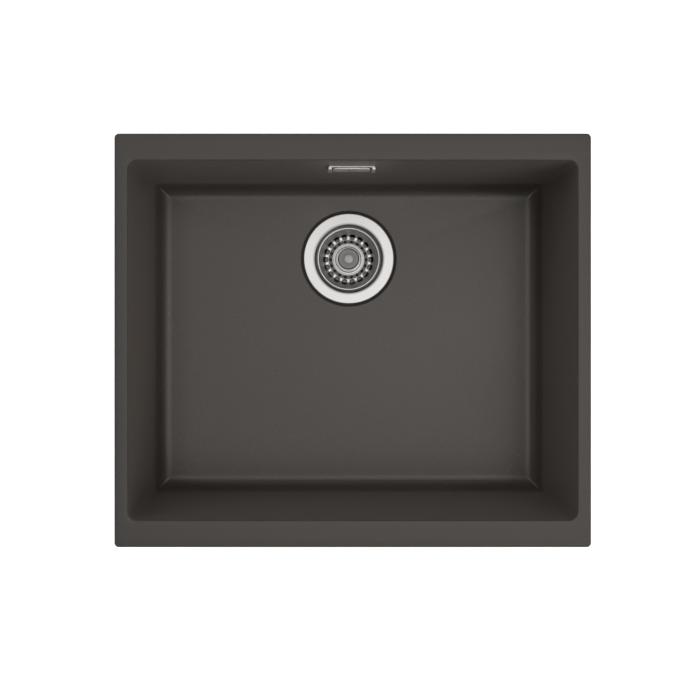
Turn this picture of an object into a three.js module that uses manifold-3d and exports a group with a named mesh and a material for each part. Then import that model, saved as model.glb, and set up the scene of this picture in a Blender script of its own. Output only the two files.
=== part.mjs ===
// Undermount kitchen sink: a bowl cast in quartz composite, a basket strainer waste in its floor,
// and an overflow high on the rear wall that drains into the waste through a ribbed hose.
//
// Millimetres. +X is to the right, +Y towards the rear wall, +Z up.
// The origin is the centre of the rim's top face, which meets the underside of the worktop.

import * as THREE from 'three';
import { ConvexGeometry } from 'three/addons/geometries/ConvexGeometry.js';
import { mergeVertices } from 'three/addons/utils/BufferGeometryUtils.js';
import Module from 'manifold-3d';

const wasm = await Module();
wasm.setup();

// ---------------------------------------------------------------- driving dimensions

// Gap between neighbouring pieces
const FIT = 0.3;

// How far a joined solid runs into its neighbour, and a cutter past the face that it opens
const OVERRUN = 1;

// Cast bowl
const BOWL_WIDTH = 500; // opening, left to right
const BOWL_LENGTH = 400; // opening, front to rear
const BOWL_DEPTH = 200; // rim to the foot of the walls
const BOWL_CORNER = 10; // plan radius of the opening's corners
const DRAFT_DEGREES = 1.5; // lean of the walls
const FLOOR_FILLET = 20; // between walls and floor
const FLOOR_FALL = 2; // from the foot of the walls down to the waste
const FALL_MARGIN = 2; // level strip between the fillet and the fall
const WALL = 8;
const FLOOR_THICKNESS = 10;
const RIM_SIDE = 15; // rim width at the left and right
const RIM_FRONT = 30; // rim width at the front and rear
const RIM_THICKNESS = 12;
const RIM_CORNER = 5; // plan radius of the rim's outer corners
const RIM_EDGE = 1.5; // rounding of the rim's edges
const EDGE_SHOULDER = 0.45; // first step of that rounding, in and down

// Bosses, inserts and gussets under the front and rear rims
const INSERT_INNER_X = 70; // the inner pair, from the middle of the bowl
const INSERT_FROM_END = 50; // the outer pair, from the opening's ends
const INSERT_RADIUS = 4;
const INSERT_BORE = 2.6;
const INSERT_LENGTH = 10;
const BOSS_WALL = 3; // material round an insert
const BOSS_DROP = 10; // boss below the rim's underside
const GUSSET_THICKNESS = 6;
const GUSSET_HEIGHT = 30;
const GUSSET_INNER_X = 135;
const GUSSET_FROM_END = 20;

// Waste flange and cup, one pressing
const WASTE_FROM_REAR = 99; // waste centre to the opening's rear edge
const SHEET = 1.2; // flange metal
const CUP_RADIUS = 39.6; // inside, below the ledge
const LEDGE_WIDTH = 1.6; // the ledge that the basket's rim rests on
const LEDGE_DEPTH = 9.5; // ledge below the flange's top
const FLANGE_ROLL = 4; // radius where the flange turns down into the cup
const FLANGE_EASE = 0.6; // slope at the flange's edge
const CUP_TAPER = 8.6; // radius lost between the ledge and the cup's bottom
const CUP_SHOULDER = 24; // depth at which the cup begins to taper
const FLANGE_LAP = 12.5; // flange beyond the hole in the bowl
const FLANGE_SUNK = 0.3; // flange below the floor round it
const HOLE_CLEARANCE = 2.6; // hole in the bowl beyond the cup
const SEAT_MARGIN = 3.5; // recess beyond the flange
const SEAT_FLOOR = 10.4; // composite left under the seat
const SEAT_BOSS = 6; // underside boss beyond the seat recess
const SEAT_LEVEL = 1; // flat seat beyond the flange, before the recess widens
const WATERWAYS = 4; // kidney slots in the cup's bottom
const WATERWAY_WEB = 5; // metal between two slots
const WATERWAY_MARGIN = 2; // slots clear of the screw's head

// Basket
const BASKET_SHEET = 0.9;
const BASKET_PLAY = 0.5; // rim to the cup, radially
const BASKET_BEAD = 1.3; // rolled rim
const BASKET_LIP = 1; // upright lip between the ledge and the bead
const BEAD_TUCK = 0.2; // bead's inner edge short of a full roll
const BEAD_INNER = 1; // radius of the bead's inner edge
const BASKET_TAPER = 10.1; // radius lost from the rim to the foot of the wall
const BASKET_DEPTH = 17; // ledge to the basket's floor
const BASKET_FOOT = 3.5; // bend between wall and floor
const SLOT_COUNT = 18;
const SLOT_WIDTH = 6.4;
const SLOT_LENGTH = 6.2; // across the bend
const SLOT_INSET = 1.4; // slots' middle, in from the foot of the wall
const HOLE_RADIUS = 1.7;
const HOLE_STEP = 6.1; // inner hole circle, in from the slots' middle circle

// Knob, stem and plug
const KNOB_BASE_RADIUS = 21;
const KNOB_BASE_SHEET = 0.8;
const KNOB_BASE_HEIGHT = 5.6;
const KNOB_BASE_STEP = 3.9; // width of the lower ring
const KNOB_BASE_BEND = 1.2;
const KNOB_RADIUS = 15;
const KNOB_NECK = 7.2;
const KNOB_HEIGHT = 12.6;
const KNOB_DISH = 1.5; // depth of the dish in the knob's top
const KNOB_BAND = 3; // upright grip round the knob's top
const KNOB_LIP = 1; // flat edge round the dish
const KNOB_SOCKET = 3; // hole for the cap's peg
const CAP_RADIUS = 5.9;
const CAP_HEIGHT = 1.2;
const CAP_PEG = 2.5;
const STEM_RADIUS = 2.8;
const STEM_REACH = 8.8; // stem below the top of the centre screw
const STEM_BELOW_CAP = 5;
const CATCH_WIDTH = 0.8;
const CATCH_DEPTH = 0.7; // groove for the catch ring in the stem
const HOLDER_RADIUS = 19;
const HOLDER_THICKNESS = 1;
const SEAL_INSET = 4.5; // seal in from the foot of the cup's taper
const SEAL_LIP = 5;
const SEAL_WEB = 1.8;
const SEAL_FLARE = 4; // slope of the bell's inside
const SEAL_SHOULDER = 2.5; // slope of the bell's outside
const STEM_NUT_RADIUS = 5.5;
const STEM_NUT_HEIGHT = 2.5;

// Centre screw and the waste body's hub
const CENTRE_HEAD_RADIUS = 7.5;
const CENTRE_HEAD_HEIGHT = 3;
const CENTRE_RADIUS = 4.5;
const HUB_NUT_WALL = 1.6;
const HUB_WALL = 2.6;
const HUB_DROP = 7.3; // hub below the cup

// Waste body
const GASKET = 1.5; // flange gasket
const BODY_GASKET = 3;
const GASKET_MARGIN = 1.5; // gaskets stop short of the flange's edge
const BODY_WALL = 3;
const BODY_FLANGE = 4;
const BODY_SKIRT = 4.2; // wall below the hub
const WEB_SEAT = 1.2; // webs let into the wall
const SPIGOT_DROP = 13.3; // overflow inlet's axis below the cup
const SPIGOT_OUT = 14; // overflow inlet beyond the body's wall
const FUNNEL_HEIGHT = 12;
const FUNNEL_LEDGE = 2.5; // outlet's step under the body's wall
const FUNNEL_DROP = 2.2; // outside of the funnel's neck below its inside
const OUTLET_RADIUS = 23.9;
const OUTLET_WALL = 3.9;
const OUTLET_LENGTH = 26;
const BODY_RIBS = 8;
const BODY_RIB_HEIGHT = 14;

// Overflow
const OVERFLOW_DROP = 47.5; // slot's middle below the rim
const OVERFLOW_WIDTH = 45;
const OVERFLOW_HEIGHT = 15;
const OVERFLOW_CORNER = 2;
const FRAME_LAP = 5; // frame beyond the slot
const FRAME_THICKNESS = 2;
const CHEEK_DEPTH = 4.6; // end cheeks stand this far off the wall
const PLATE_SIDE_GAP = 1.5;
const PLATE_THICKNESS = 1.6;
const PLATE_CROWN = 0.7;
const PLATE_MARGIN = 2; // plate short of the frame, above and below
const PLATE_STEPS = 8;
const CHEEK_CORNER = 1.5;
const NIB_WIDTH = 3; // nibs that hold the plate off the frame
const NIB_HEIGHT = 2;
const PAD_LAP = 14; // rear pad beyond the slot's ends
const PAD_LAP_HIGH = 12; // and above and below it
const PAD_PROUD = 1; // rear pad beyond the wall at the rim
const OVERFLOW_SEAL = 2;
const BOX_LAP = 9; // box flange beyond the slot
const BOX_CORNER = 5;
const BOX_FLANGE = 3;
const BOX_WALL = 2.5;
const BOX_FUNNEL = 20;
const BOX_SPIGOT = 14;
const OVERFLOW_SCREW = 2;
const OVERFLOW_SCREW_HEAD = 3.6;
const OVERFLOW_SCREW_CROWN = 0.9;
const OVERFLOW_NUT_RADIUS = 3.7;
const OVERFLOW_NUT_LENGTH = 8;
const OVERFLOW_BOSS_WALL = 1.5;
const OVERFLOW_BOSS_BACK = 2; // boss behind the box's front

// Hose and its unions
const HOSE_RADIUS = 10;
const HOSE_RIB = 1.3; // depth of a rib
const HOSE_PITCH = 4;
const HOSE_BORE = 7.5;
const HOSE_BEND = 50;
const HOSE_COLLAR = 2.5;
const SPIGOT_WALL = 3.5;
const WASHER = 2;
const NUT_WALL = 2.2;
const NUT_BACK = 2.6;
const NUT_SKIRT = 10; // nut over the spigot
const NUT_GRIPS = 8;
const NUT_GRIP_DEPTH = 0.9;
const NUT_GRIP_WIDTH = 2;

// Facets
const ROUND = 36;
const MEDIUM = 24;
const SMALL = 12;
const BASKET_FACETS = 36;
const CORNER_STEPS = 4;
const BEND_STEPS = 2;
const HOSE_SIDES = 8;
const BORE_RING_RIBS = 5;

// ---------------------------------------------------------------- derived sizes and levels

const CUP_LIP_RADIUS = CUP_RADIUS + LEDGE_WIDTH;
const WASTE_HOLE = CUP_LIP_RADIUS + SHEET + HOLE_CLEARANCE;
const FLANGE_RADIUS = WASTE_HOLE + FLANGE_LAP;
const WASTE_Y = BOWL_LENGTH / 2 - WASTE_FROM_REAR;

// World levels
const WASTE_FLOOR_Z = -(BOWL_DEPTH + FLOOR_FALL);
const FLANGE_Z = WASTE_FLOOR_Z - FLANGE_SUNK;
const SEAT_Z = FLANGE_Z - SHEET - GASKET - 2 * FIT;
const UNDERSIDE_Z = SEAT_Z - SEAT_FLOOR;
const RIM_UNDER_Z = -RIM_THICKNESS;
const BOSS_FACE_Z = RIM_UNDER_Z - BOSS_DROP;
const INSERT_Y = (BOWL_LENGTH + WALL + RIM_FRONT) / 2;

// Levels in the waste's own frame, whose origin is the middle of the flange's top
const BASKET_FLOOR = -(LEDGE_DEPTH + BASKET_DEPTH);
const KNOB_FOOT = BASKET_FLOOR + KNOB_BASE_HEIGHT + 2 * FIT;
const KNOB_TOP = KNOB_FOOT + KNOB_HEIGHT;
const CAP_SEAT = KNOB_TOP - KNOB_DISH;
const STEM_TOP = CAP_SEAT - STEM_BELOW_CAP;
const HOLDER_TOP = BASKET_FLOOR - BASKET_SHEET - FIT;
const SEAL_TOP = HOLDER_TOP - HOLDER_THICKNESS - FIT;
const STEM_NUT_TOP = SEAL_TOP - SEAL_WEB - FIT;
const CENTRE_TOP = STEM_NUT_TOP - STEM_NUT_HEIGHT - 2 * FIT;
const CENTRE_SEAT = CENTRE_TOP - CENTRE_HEAD_HEIGHT;
const STEM_END = CENTRE_TOP - STEM_REACH;
const CATCH_TOP = CENTRE_TOP - STEM_REACH / 2;
const CUP_FLOOR = CENTRE_SEAT - FIT;
const CUP_UNDERSIDE = CUP_FLOOR - SHEET;
const BODY_GASKET_TOP = UNDERSIDE_Z - FLANGE_Z - FIT;
const BODY_TOP = BODY_GASKET_TOP - BODY_GASKET - FIT;
const HUB_TOP = CUP_UNDERSIDE - HUB_DROP;
const SPIGOT_Z = CUP_UNDERSIDE - SPIGOT_DROP;
const CHAMBER_FLOOR = SPIGOT_Z - HOSE_BORE - FIT;
const BODY_END = CHAMBER_FLOOR - BODY_SKIRT;
const OUTLET_TOP = CHAMBER_FLOOR - FUNNEL_HEIGHT;
const OUTLET_END = OUTLET_TOP - OUTLET_LENGTH;

// Waste radii
const CUP_FOOT = CUP_RADIUS - CUP_TAPER;
const SEAL_RADIUS = CUP_FOOT - SEAL_INSET;
const BASKET_RADIUS = CUP_LIP_RADIUS - BASKET_PLAY;
const BASKET_FOOT_RADIUS = BASKET_RADIUS - BASKET_TAPER;
const SLOT_CIRCLE = BASKET_FOOT_RADIUS - SLOT_INSET;
const STEM_HOLE = STEM_RADIUS + FIT;
const CENTRE_HOLE = CENTRE_RADIUS + FIT;
const HUB_NUT_RADIUS = CENTRE_HOLE + HUB_NUT_WALL;
const HUB_RADIUS = HUB_NUT_RADIUS + FIT + HUB_WALL;
const BODY_RADIUS = WASTE_HOLE + BODY_WALL;
const GASKET_RADIUS = FLANGE_RADIUS - GASKET_MARGIN;

// Overflow places
const PAD_Y = BOWL_LENGTH / 2 + WALL + PAD_PROUD;
const BOX_Y = PAD_Y + OVERFLOW_SEAL + 2 * FIT;
const SPIGOT_RADIUS = HOSE_BORE + SPIGOT_WALL;
const BOX_DEPTH = 2 * (SPIGOT_RADIUS + 1);
const HOSE_Y = BOX_Y + BOX_DEPTH / 2;
const OVERFLOW_BOSS_Y = BOX_Y + OVERFLOW_BOSS_BACK;
const BOX_BOTTOM_Z = -OVERFLOW_DROP - OVERFLOW_HEIGHT / 2 - BOX_WALL;
const BOX_SPIGOT_Z = BOX_BOTTOM_Z - BOX_FUNNEL - BOX_SPIGOT;
const BODY_SPIGOT_Y = WASTE_Y + BODY_RADIUS + SPIGOT_OUT;
const HOSE_START = WASHER + 2 * FIT; // hose end beyond a spigot's face

// Overflow frame and plate, off the wall
const FRAME_HALF_X = OVERFLOW_WIDTH / 2 + FRAME_LAP;
const FRAME_HALF_Y = OVERFLOW_HEIGHT / 2 + FRAME_LAP;
const PLATE_BACK = FRAME_THICKNESS + PLATE_CROWN + FIT;
const PLATE_FRONT = PLATE_BACK + PLATE_THICKNESS - PLATE_CROWN;
const PLATE_HALF = OVERFLOW_WIDTH / 2 - PLATE_SIDE_GAP;

// ---------------------------------------------------------------- solids

// A closed geometry becomes a solid once its shared corners are merged and its empty triangles dropped.
function solid(geometry) {
  const bare = geometry.clone();
  bare.deleteAttribute('normal');
  bare.deleteAttribute('uv');
  const merged = mergeVertices(bare, 1e-4);
  const index = merged.index.array;
  const triangles = [];
  for (let i = 0; i < index.length; i += 3) {
    const [a, b, c] = [index[i], index[i + 1], index[i + 2]];
    if (a !== b && b !== c && c !== a) {
      triangles.push(a, b, c);
    }
  }
  const vertProperties = Float32Array.from(merged.attributes.position.array);
  const mesh = new wasm.Mesh({ numProp: 3, vertProperties, triVerts: Uint32Array.from(triangles) });
  return new wasm.Manifold(mesh);
}

function geometryOf(body) {
  const mesh = body.getMesh();
  const geometry = new THREE.BufferGeometry();
  geometry.setAttribute('position', new THREE.BufferAttribute(mesh.vertProperties, 3));
  geometry.setIndex(new THREE.BufferAttribute(mesh.triVerts, 1));
  geometry.computeVertexNormals();
  return geometry;
}

// Points of an outline whose corners are [x, y, radius, steps]; a corner without a radius stays sharp.
function filleted(corners, closed) {
  const points = [];
  corners.forEach(([x, y, radius = 0, steps = BEND_STEPS], i) => {
    const corner = new THREE.Vector2(x, y);
    const isEnd = !closed && (i === 0 || i === corners.length - 1);
    if (radius === 0 || isEnd) {
      points.push(corner);
      return;
    }
    const before = corners[(i + corners.length - 1) % corners.length];
    const after = corners[(i + 1) % corners.length];
    const back = new THREE.Vector2(before[0], before[1]).sub(corner).normalize();
    const on = new THREE.Vector2(after[0], after[1]).sub(corner).normalize();
    const half = Math.acos(back.dot(on)) / 2;
    const toCentre = back.clone().add(on).normalize();
    const centre = corner.clone().addScaledVector(toCentre, radius / Math.sin(half));
    const start = corner.clone().addScaledVector(back, radius / Math.tan(half)).sub(centre);
    const turn = Math.PI - 2 * half;
    const side = Math.sign(back.cross(on)) * -1;
    for (let step = 0; step <= steps; step += 1) {
      const spoke = start.clone().rotateAround(new THREE.Vector2(), (side * turn * step) / steps);
      points.push(centre.clone().add(spoke));
    }
  });
  return points;
}

// Adds the other face of a sheet whose first face is the path: the sheet lies to the path's left.
function sheetOutline(path, thickness) {
  const sides = path.slice(1).map((point, i) => {
    const along = point.clone().sub(path[i]).normalize();
    return new THREE.Vector2(-along.y, along.x);
  });
  const second = path.map((point, i) => {
    const before = sides[Math.max(i - 1, 0)];
    const after = sides[Math.min(i, sides.length - 1)];
    const middle = before.clone().add(after).normalize();
    return point.clone().addScaledVector(middle, thickness / middle.dot(after));
  });
  return [...path, ...second.reverse()];
}

// Revolves a closed outline of (radius, height) points about Z.
function revolve(outline, facets) {
  const profile = THREE.ShapeUtils.isClockWise(outline) ? [...outline].reverse() : [...outline];
  const lathe = new THREE.LatheGeometry([...profile, profile[0]], facets);
  return solid(lathe.rotateX(Math.PI / 2));
}

function revolveCorners(corners, facets) {
  return revolve(filleted(corners, true), facets);
}

function cylinder(radius, bottom, top, facets) {
  return revolve(filleted([[0, bottom], [radius, bottom], [radius, top], [0, top]], true), facets);
}

function ring(inner, outer, bottom, top, facets) {
  return revolve(filleted([[inner, bottom], [outer, bottom], [outer, top], [inner, top]], true), facets);
}

function block(xRange, yRange, zRange) {
  const size = [xRange, yRange, zRange].map(([low, high]) => high - low);
  const middle = [xRange, yRange, zRange].map(([low, high]) => (low + high) / 2);
  return solid(new THREE.BoxGeometry(...size).translate(...middle));
}

function roundedRectangle(halfX, halfY, radius, steps = CORNER_STEPS) {
  const corners = [[halfX, -halfY], [halfX, halfY], [-halfX, halfY], [-halfX, -halfY]];
  return filleted(corners.map(([x, y]) => [x, y, radius, steps]), true);
}

function extrude(points, depth) {
  const settings = { depth, bevelEnabled: false };
  return new THREE.ExtrudeGeometry(new THREE.Shape(points), settings);
}

// Extrudes an outline of (x, z) points along +Y, from the plane y = start.
function extrudeAlongY(points, start, depth) {
  return solid(extrude(points, depth).rotateX(Math.PI / 2).translate(0, start + depth, 0));
}

function hull(points) {
  return solid(new ConvexGeometry(points));
}

// Joins rings of equally many points, each ring to the next; the last is joined to the first when closed.
function bandTriangles(ringCount, sides, closed) {
  const triangles = [];
  const bands = closed ? ringCount : ringCount - 1;
  for (let band = 0; band < bands; band += 1) {
    const low = band * sides;
    const high = ((band + 1) % ringCount) * sides;
    for (let side = 0; side < sides; side += 1) {
      const next = (side + 1) % sides;
      triangles.push(low + side, low + next, high + next, low + side, high + next, high + side);
    }
  }
  return triangles;
}

function geometryFrom(points, triangles) {
  const geometry = new THREE.BufferGeometry().setFromPoints(points);
  geometry.setIndex(triangles);
  return geometry;
}

// A loft through level outlines, listed from the lowest up, closed by flat ends.
function loft(levels) {
  const sides = levels[0].outline.length;
  const points = levels.flatMap(({ outline, z }) => outline.map(({ x, y }) => new THREE.Vector3(x, y, z)));
  const triangles = bandTriangles(levels.length, sides, false);
  const bottom = points.length;
  const top = bottom + 1;
  const lastRing = (levels.length - 1) * sides;
  points.push(new THREE.Vector3(0, 0, levels[0].z));
  points.push(new THREE.Vector3(0, 0, levels[levels.length - 1].z));
  for (let side = 0; side < sides; side += 1) {
    const next = (side + 1) % sides;
    triangles.push(bottom, next, side, top, lastRing + side, lastRing + next);
  }
  return solid(geometryFrom(points, triangles));
}

function circlePoints(radius, z, y, facets) {
  return Array.from({ length: facets }, (_, i) => {
    const angle = (2 * Math.PI * i) / facets;
    return new THREE.Vector3(radius * Math.cos(angle), y + radius * Math.sin(angle), z);
  });
}

// ---------------------------------------------------------------- cast bowl

const DRAFT = THREE.MathUtils.degToRad(DRAFT_DEGREES);

function wallInset(z) {
  return -z * Math.tan(DRAFT);
}

// The outline of the bowl's inside, or of its outside when grown by the wall.
function bowlOutline(inset, grow) {
  const radius = Math.max(BOWL_CORNER + grow - inset, RIM_EDGE);
  return roundedRectangle(BOWL_WIDTH / 2 + grow - inset, BOWL_LENGTH / 2 + grow - inset, radius);
}

// Levels of the bowl's inside (grow 0) or outside (grow = wall), from the floor up to the rim.
function bowlLevels(floorZ, fillet, grow, top) {
  const filletTop = floorZ + fillet;
  const levels = [];
  for (let step = 0; step <= CORNER_STEPS; step += 1) {
    const angle = (Math.PI / 2) * (step / CORNER_STEPS);
    const inset = wallInset(filletTop) + fillet * (1 - Math.sin(angle));
    levels.push({ outline: bowlOutline(inset, grow), z: filletTop - fillet * Math.cos(angle) });
  }
  levels.push({ outline: bowlOutline(wallInset(top), grow), z: top });
  return levels;
}

function bowlCavity() {
  const levels = bowlLevels(-BOWL_DEPTH, FLOOR_FILLET, 0, -RIM_EDGE);
  levels.push({ outline: bowlOutline(-EDGE_SHOULDER, 0), z: -EDGE_SHOULDER });
  levels.push({ outline: bowlOutline(-RIM_EDGE, 0), z: 0 });
  levels.push({ outline: bowlOutline(-RIM_EDGE, 0), z: RIM_THICKNESS });
  return loft(levels);
}

function rimPlate() {
  const halfX = BOWL_WIDTH / 2 + RIM_SIDE;
  const halfY = BOWL_LENGTH / 2 + RIM_FRONT;
  const full = roundedRectangle(halfX, halfY, RIM_CORNER);
  const eased = roundedRectangle(halfX - EDGE_SHOULDER, halfY - EDGE_SHOULDER, RIM_CORNER - EDGE_SHOULDER);
  const top = roundedRectangle(halfX - RIM_EDGE, halfY - RIM_EDGE, RIM_CORNER - RIM_EDGE);
  return loft([
    { outline: full, z: RIM_UNDER_Z },
    { outline: full, z: -RIM_EDGE },
    { outline: eased, z: -EDGE_SHOULDER },
    { outline: top, z: 0 },
  ]);
}

// The floor falls from the foot of the fillet to a level circle round the waste.
function floorFall(circleRadius) {
  const inset = wallInset(FLOOR_FILLET - BOWL_DEPTH) + FLOOR_FILLET + FALL_MARGIN;
  const halfX = BOWL_WIDTH / 2 - inset;
  const halfY = BOWL_LENGTH / 2 - inset;
  const corners = [];
  for (const z of [-BOWL_DEPTH, -BOWL_DEPTH + FLOOR_FALL]) {
    for (const x of [-halfX, halfX]) {
      for (const y of [-halfY, halfY]) {
        corners.push(new THREE.Vector3(x, y, z));
      }
    }
  }
  return hull([...corners, ...circlePoints(circleRadius, WASTE_FLOOR_Z, WASTE_Y, ROUND)]);
}

// The seat recess, its rounded edge and the hole for the cup, about the waste's axis.
function wasteCut(recessRadius) {
  const below = UNDERSIDE_Z - FLOOR_THICKNESS;
  const corners = [
    [0, below],
    [WASTE_HOLE, below],
    [WASTE_HOLE, SEAT_Z],
    [FLANGE_RADIUS + SEAT_LEVEL, SEAT_Z],
    [recessRadius, WASTE_FLOOR_Z],
    [recessRadius, WASTE_FLOOR_Z + FLOOR_FALL],
    [0, WASTE_FLOOR_Z + FLOOR_FALL],
  ];
  return revolveCorners(corners, ROUND).translate([0, WASTE_Y, 0]);
}

function insertPlaces() {
  const outer = BOWL_WIDTH / 2 - INSERT_FROM_END;
  const across = [-outer, -INSERT_INNER_X, INSERT_INNER_X, outer];
  return [-INSERT_Y, INSERT_Y].flatMap((y) => across.map((x) => [x, y]));
}

function gusset(x, ySide) {
  const wallFace = BOWL_LENGTH / 2 + WALL / 2;
  const tip = BOWL_LENGTH / 2 + RIM_FRONT - BOSS_WALL;
  const outline = [
    new THREE.Vector2(wallFace, RIM_UNDER_Z + OVERRUN),
    new THREE.Vector2(wallFace, RIM_UNDER_Z - GUSSET_HEIGHT),
    new THREE.Vector2(wallFace + WALL / 2, RIM_UNDER_Z - GUSSET_HEIGHT),
    new THREE.Vector2(tip, RIM_UNDER_Z),
    new THREE.Vector2(tip, RIM_UNDER_Z + OVERRUN),
  ];
  const web = extrude(outline, GUSSET_THICKNESS).translate(0, 0, -GUSSET_THICKNESS / 2);
  const upright = web.rotateX(Math.PI / 2).rotateZ((ySide * Math.PI) / 2);
  return solid(upright.translate(x, 0, 0));
}

function overflowPad() {
  const halfX = OVERFLOW_WIDTH / 2 + PAD_LAP;
  const halfZ = OVERFLOW_HEIGHT / 2 + PAD_LAP_HIGH;
  const outline = roundedRectangle(halfX, halfZ, BOWL_CORNER, BEND_STEPS);
  const start = BOWL_LENGTH / 2 + WALL / 2;
  return extrudeAlongY(outline, start, PAD_Y - start).translate([0, 0, -OVERFLOW_DROP]);
}

function overflowOpening(corner = OVERFLOW_CORNER, grow = 0) {
  return roundedRectangle(OVERFLOW_WIDTH / 2 + grow, OVERFLOW_HEIGHT / 2 + grow, corner, BEND_STEPS);
}

function overflowSlot() {
  const start = BOWL_LENGTH / 2 - WALL;
  return extrudeAlongY(overflowOpening(), start, 3 * WALL).translate([0, 0, -OVERFLOW_DROP]);
}

function sinkBowl() {
  const recessRadius = FLANGE_RADIUS + SEAT_MARGIN;
  const undersideZ = -BOWL_DEPTH - FLOOR_THICKNESS;
  const gussetOuterX = BOWL_WIDTH / 2 - GUSSET_FROM_END;
  let bowl = rimPlate().add(loft(bowlLevels(undersideZ, FLOOR_FILLET + WALL, WALL, RIM_UNDER_Z / 2)));
  const seatBoss = cylinder(recessRadius + SEAT_BOSS, UNDERSIDE_Z, -BOWL_DEPTH - OVERRUN, ROUND);
  bowl = bowl.add(seatBoss.translate([0, WASTE_Y, 0])).add(overflowPad());
  for (const x of [-gussetOuterX, -GUSSET_INNER_X, GUSSET_INNER_X, gussetOuterX]) {
    bowl = bowl.add(gusset(x, 1)).add(gusset(x, -1));
  }
  for (const [x, y] of insertPlaces()) {
    const boss = cylinder(INSERT_RADIUS + BOSS_WALL, BOSS_FACE_Z, -RIM_THICKNESS / 2, SMALL);
    bowl = bowl.add(boss.translate([x, y, 0]));
  }
  bowl = bowl.subtract(bowlCavity()).subtract(floorFall(recessRadius)).subtract(wasteCut(recessRadius));
  bowl = bowl.subtract(overflowSlot());
  for (const [x, y] of insertPlaces()) {
    const pocketTop = BOSS_FACE_Z + INSERT_LENGTH + FIT;
    const pocket = cylinder(INSERT_RADIUS + FIT, BOSS_FACE_Z - OVERRUN, pocketTop, SMALL);
    bowl = bowl.subtract(pocket.translate([x, y, 0]));
  }
  return bowl;
}

function rimInsert() {
  return ring(INSERT_BORE, INSERT_RADIUS, 0, INSERT_LENGTH, SMALL);
}

// ---------------------------------------------------------------- waste

// Kidney slots round the cup's centre, between the screw's head and the seal's lip.
function waterways() {
  const outer = SEAL_RADIUS - SEAL_LIP - FIT;
  const inner = CENTRE_HEAD_RADIUS + WATERWAY_MARGIN;
  const pitch = (2 * Math.PI) / WATERWAYS;
  const cuts = [];
  for (let i = 0; i < WATERWAYS; i += 1) {
    const middle = i * pitch;
    const outerHalf = pitch / 2 - WATERWAY_WEB / 2 / outer;
    const innerHalf = pitch / 2 - WATERWAY_WEB / 2 / inner;
    const shape = new THREE.Shape();
    shape.absarc(0, 0, outer, middle - outerHalf, middle + outerHalf, false);
    shape.absarc(0, 0, inner, middle + innerHalf, middle - innerHalf, true);
    const settings = { depth: 4 * SHEET, bevelEnabled: false, curveSegments: 4 };
    const cut = new THREE.ExtrudeGeometry(shape, settings);
    cuts.push(solid(cut.translate(0, 0, CUP_UNDERSIDE - SHEET)));
  }
  return cuts;
}

function wasteFlange() {
  const path = filleted([
    [FLANGE_RADIUS, -FIT],
    [FLANGE_RADIUS - FLANGE_EASE, 0],
    [CUP_LIP_RADIUS, 0, FLANGE_ROLL],
    [CUP_LIP_RADIUS, -LEDGE_DEPTH],
    [CUP_RADIUS, -LEDGE_DEPTH],
    [CUP_RADIUS, -CUP_SHOULDER],
    [CUP_FOOT, CUP_FLOOR],
    [CENTRE_HOLE, CUP_FLOOR],
  ], false);
  let flange = revolve(sheetOutline(path, SHEET), ROUND);
  for (const cut of waterways()) {
    flange = flange.subtract(cut);
  }
  return flange;
}

function flangeGasket() {
  const top = -SHEET - FIT;
  return ring(WASTE_HOLE, GASKET_RADIUS, top - GASKET, top, ROUND);
}

function bodyGasket() {
  return ring(WASTE_HOLE, GASKET_RADIUS, BODY_GASKET_TOP - BODY_GASKET, BODY_GASKET_TOP, ROUND);
}

function bodyRib() {
  const flangeUnder = BODY_TOP - BODY_FLANGE;
  const outline = [
    new THREE.Vector2(WASTE_HOLE + OVERRUN, BODY_TOP - OVERRUN),
    new THREE.Vector2(WASTE_HOLE + OVERRUN, flangeUnder - BODY_RIB_HEIGHT),
    new THREE.Vector2(BODY_RADIUS, flangeUnder - BODY_RIB_HEIGHT),
    new THREE.Vector2(GASKET_RADIUS - OVERRUN, flangeUnder),
    new THREE.Vector2(GASKET_RADIUS - OVERRUN, BODY_TOP - OVERRUN),
  ];
  return solid(extrude(outline, BODY_WALL).translate(0, 0, -BODY_WALL / 2).rotateX(Math.PI / 2));
}

// The chamber: its wall has a seat for each web of the hub's cross, open below.
function wasteBody() {
  let body = revolveCorners([
    [WASTE_HOLE, BODY_TOP],
    [WASTE_HOLE, BODY_END],
    [BODY_RADIUS, BODY_END],
    [BODY_RADIUS, BODY_TOP - BODY_FLANGE],
    [GASKET_RADIUS, BODY_TOP - BODY_FLANGE],
    [GASKET_RADIUS, BODY_TOP],
  ], ROUND);
  for (let i = 0; i < BODY_RIBS; i += 1) {
    body = body.add(bodyRib().rotate([0, 0, (360 * (i + 0.5)) / BODY_RIBS]));
  }
  const spigotEnd = BODY_RADIUS + SPIGOT_OUT;
  const alongY = (piece) => piece.rotate([-90, 0, 0]).translate([0, 0, SPIGOT_Z]);
  body = body.add(alongY(cylinder(SPIGOT_RADIUS, WASTE_HOLE + OVERRUN, spigotEnd, MEDIUM)));
  body = body.subtract(alongY(cylinder(HOSE_BORE, WASTE_HOLE - BODY_WALL, spigotEnd + OVERRUN, SMALL)));
  const seatReach = WASTE_HOLE + WEB_SEAT;
  for (const seat of crossWebs(seatReach, BODY_WALL + 2 * FIT, BODY_END - OVERRUN, HUB_TOP + FIT)) {
    body = body.subtract(seat);
  }
  return body;
}

// Four webs from the axis outwards; they miss the overflow inlet at the rear.
function crossWebs(reach, thickness, bottom, top) {
  const web = block([0, reach], [-thickness / 2, thickness / 2], [bottom, top]);
  return [45, 135, 225, 315].map((degrees) => web.rotate([0, 0, degrees]));
}

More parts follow.
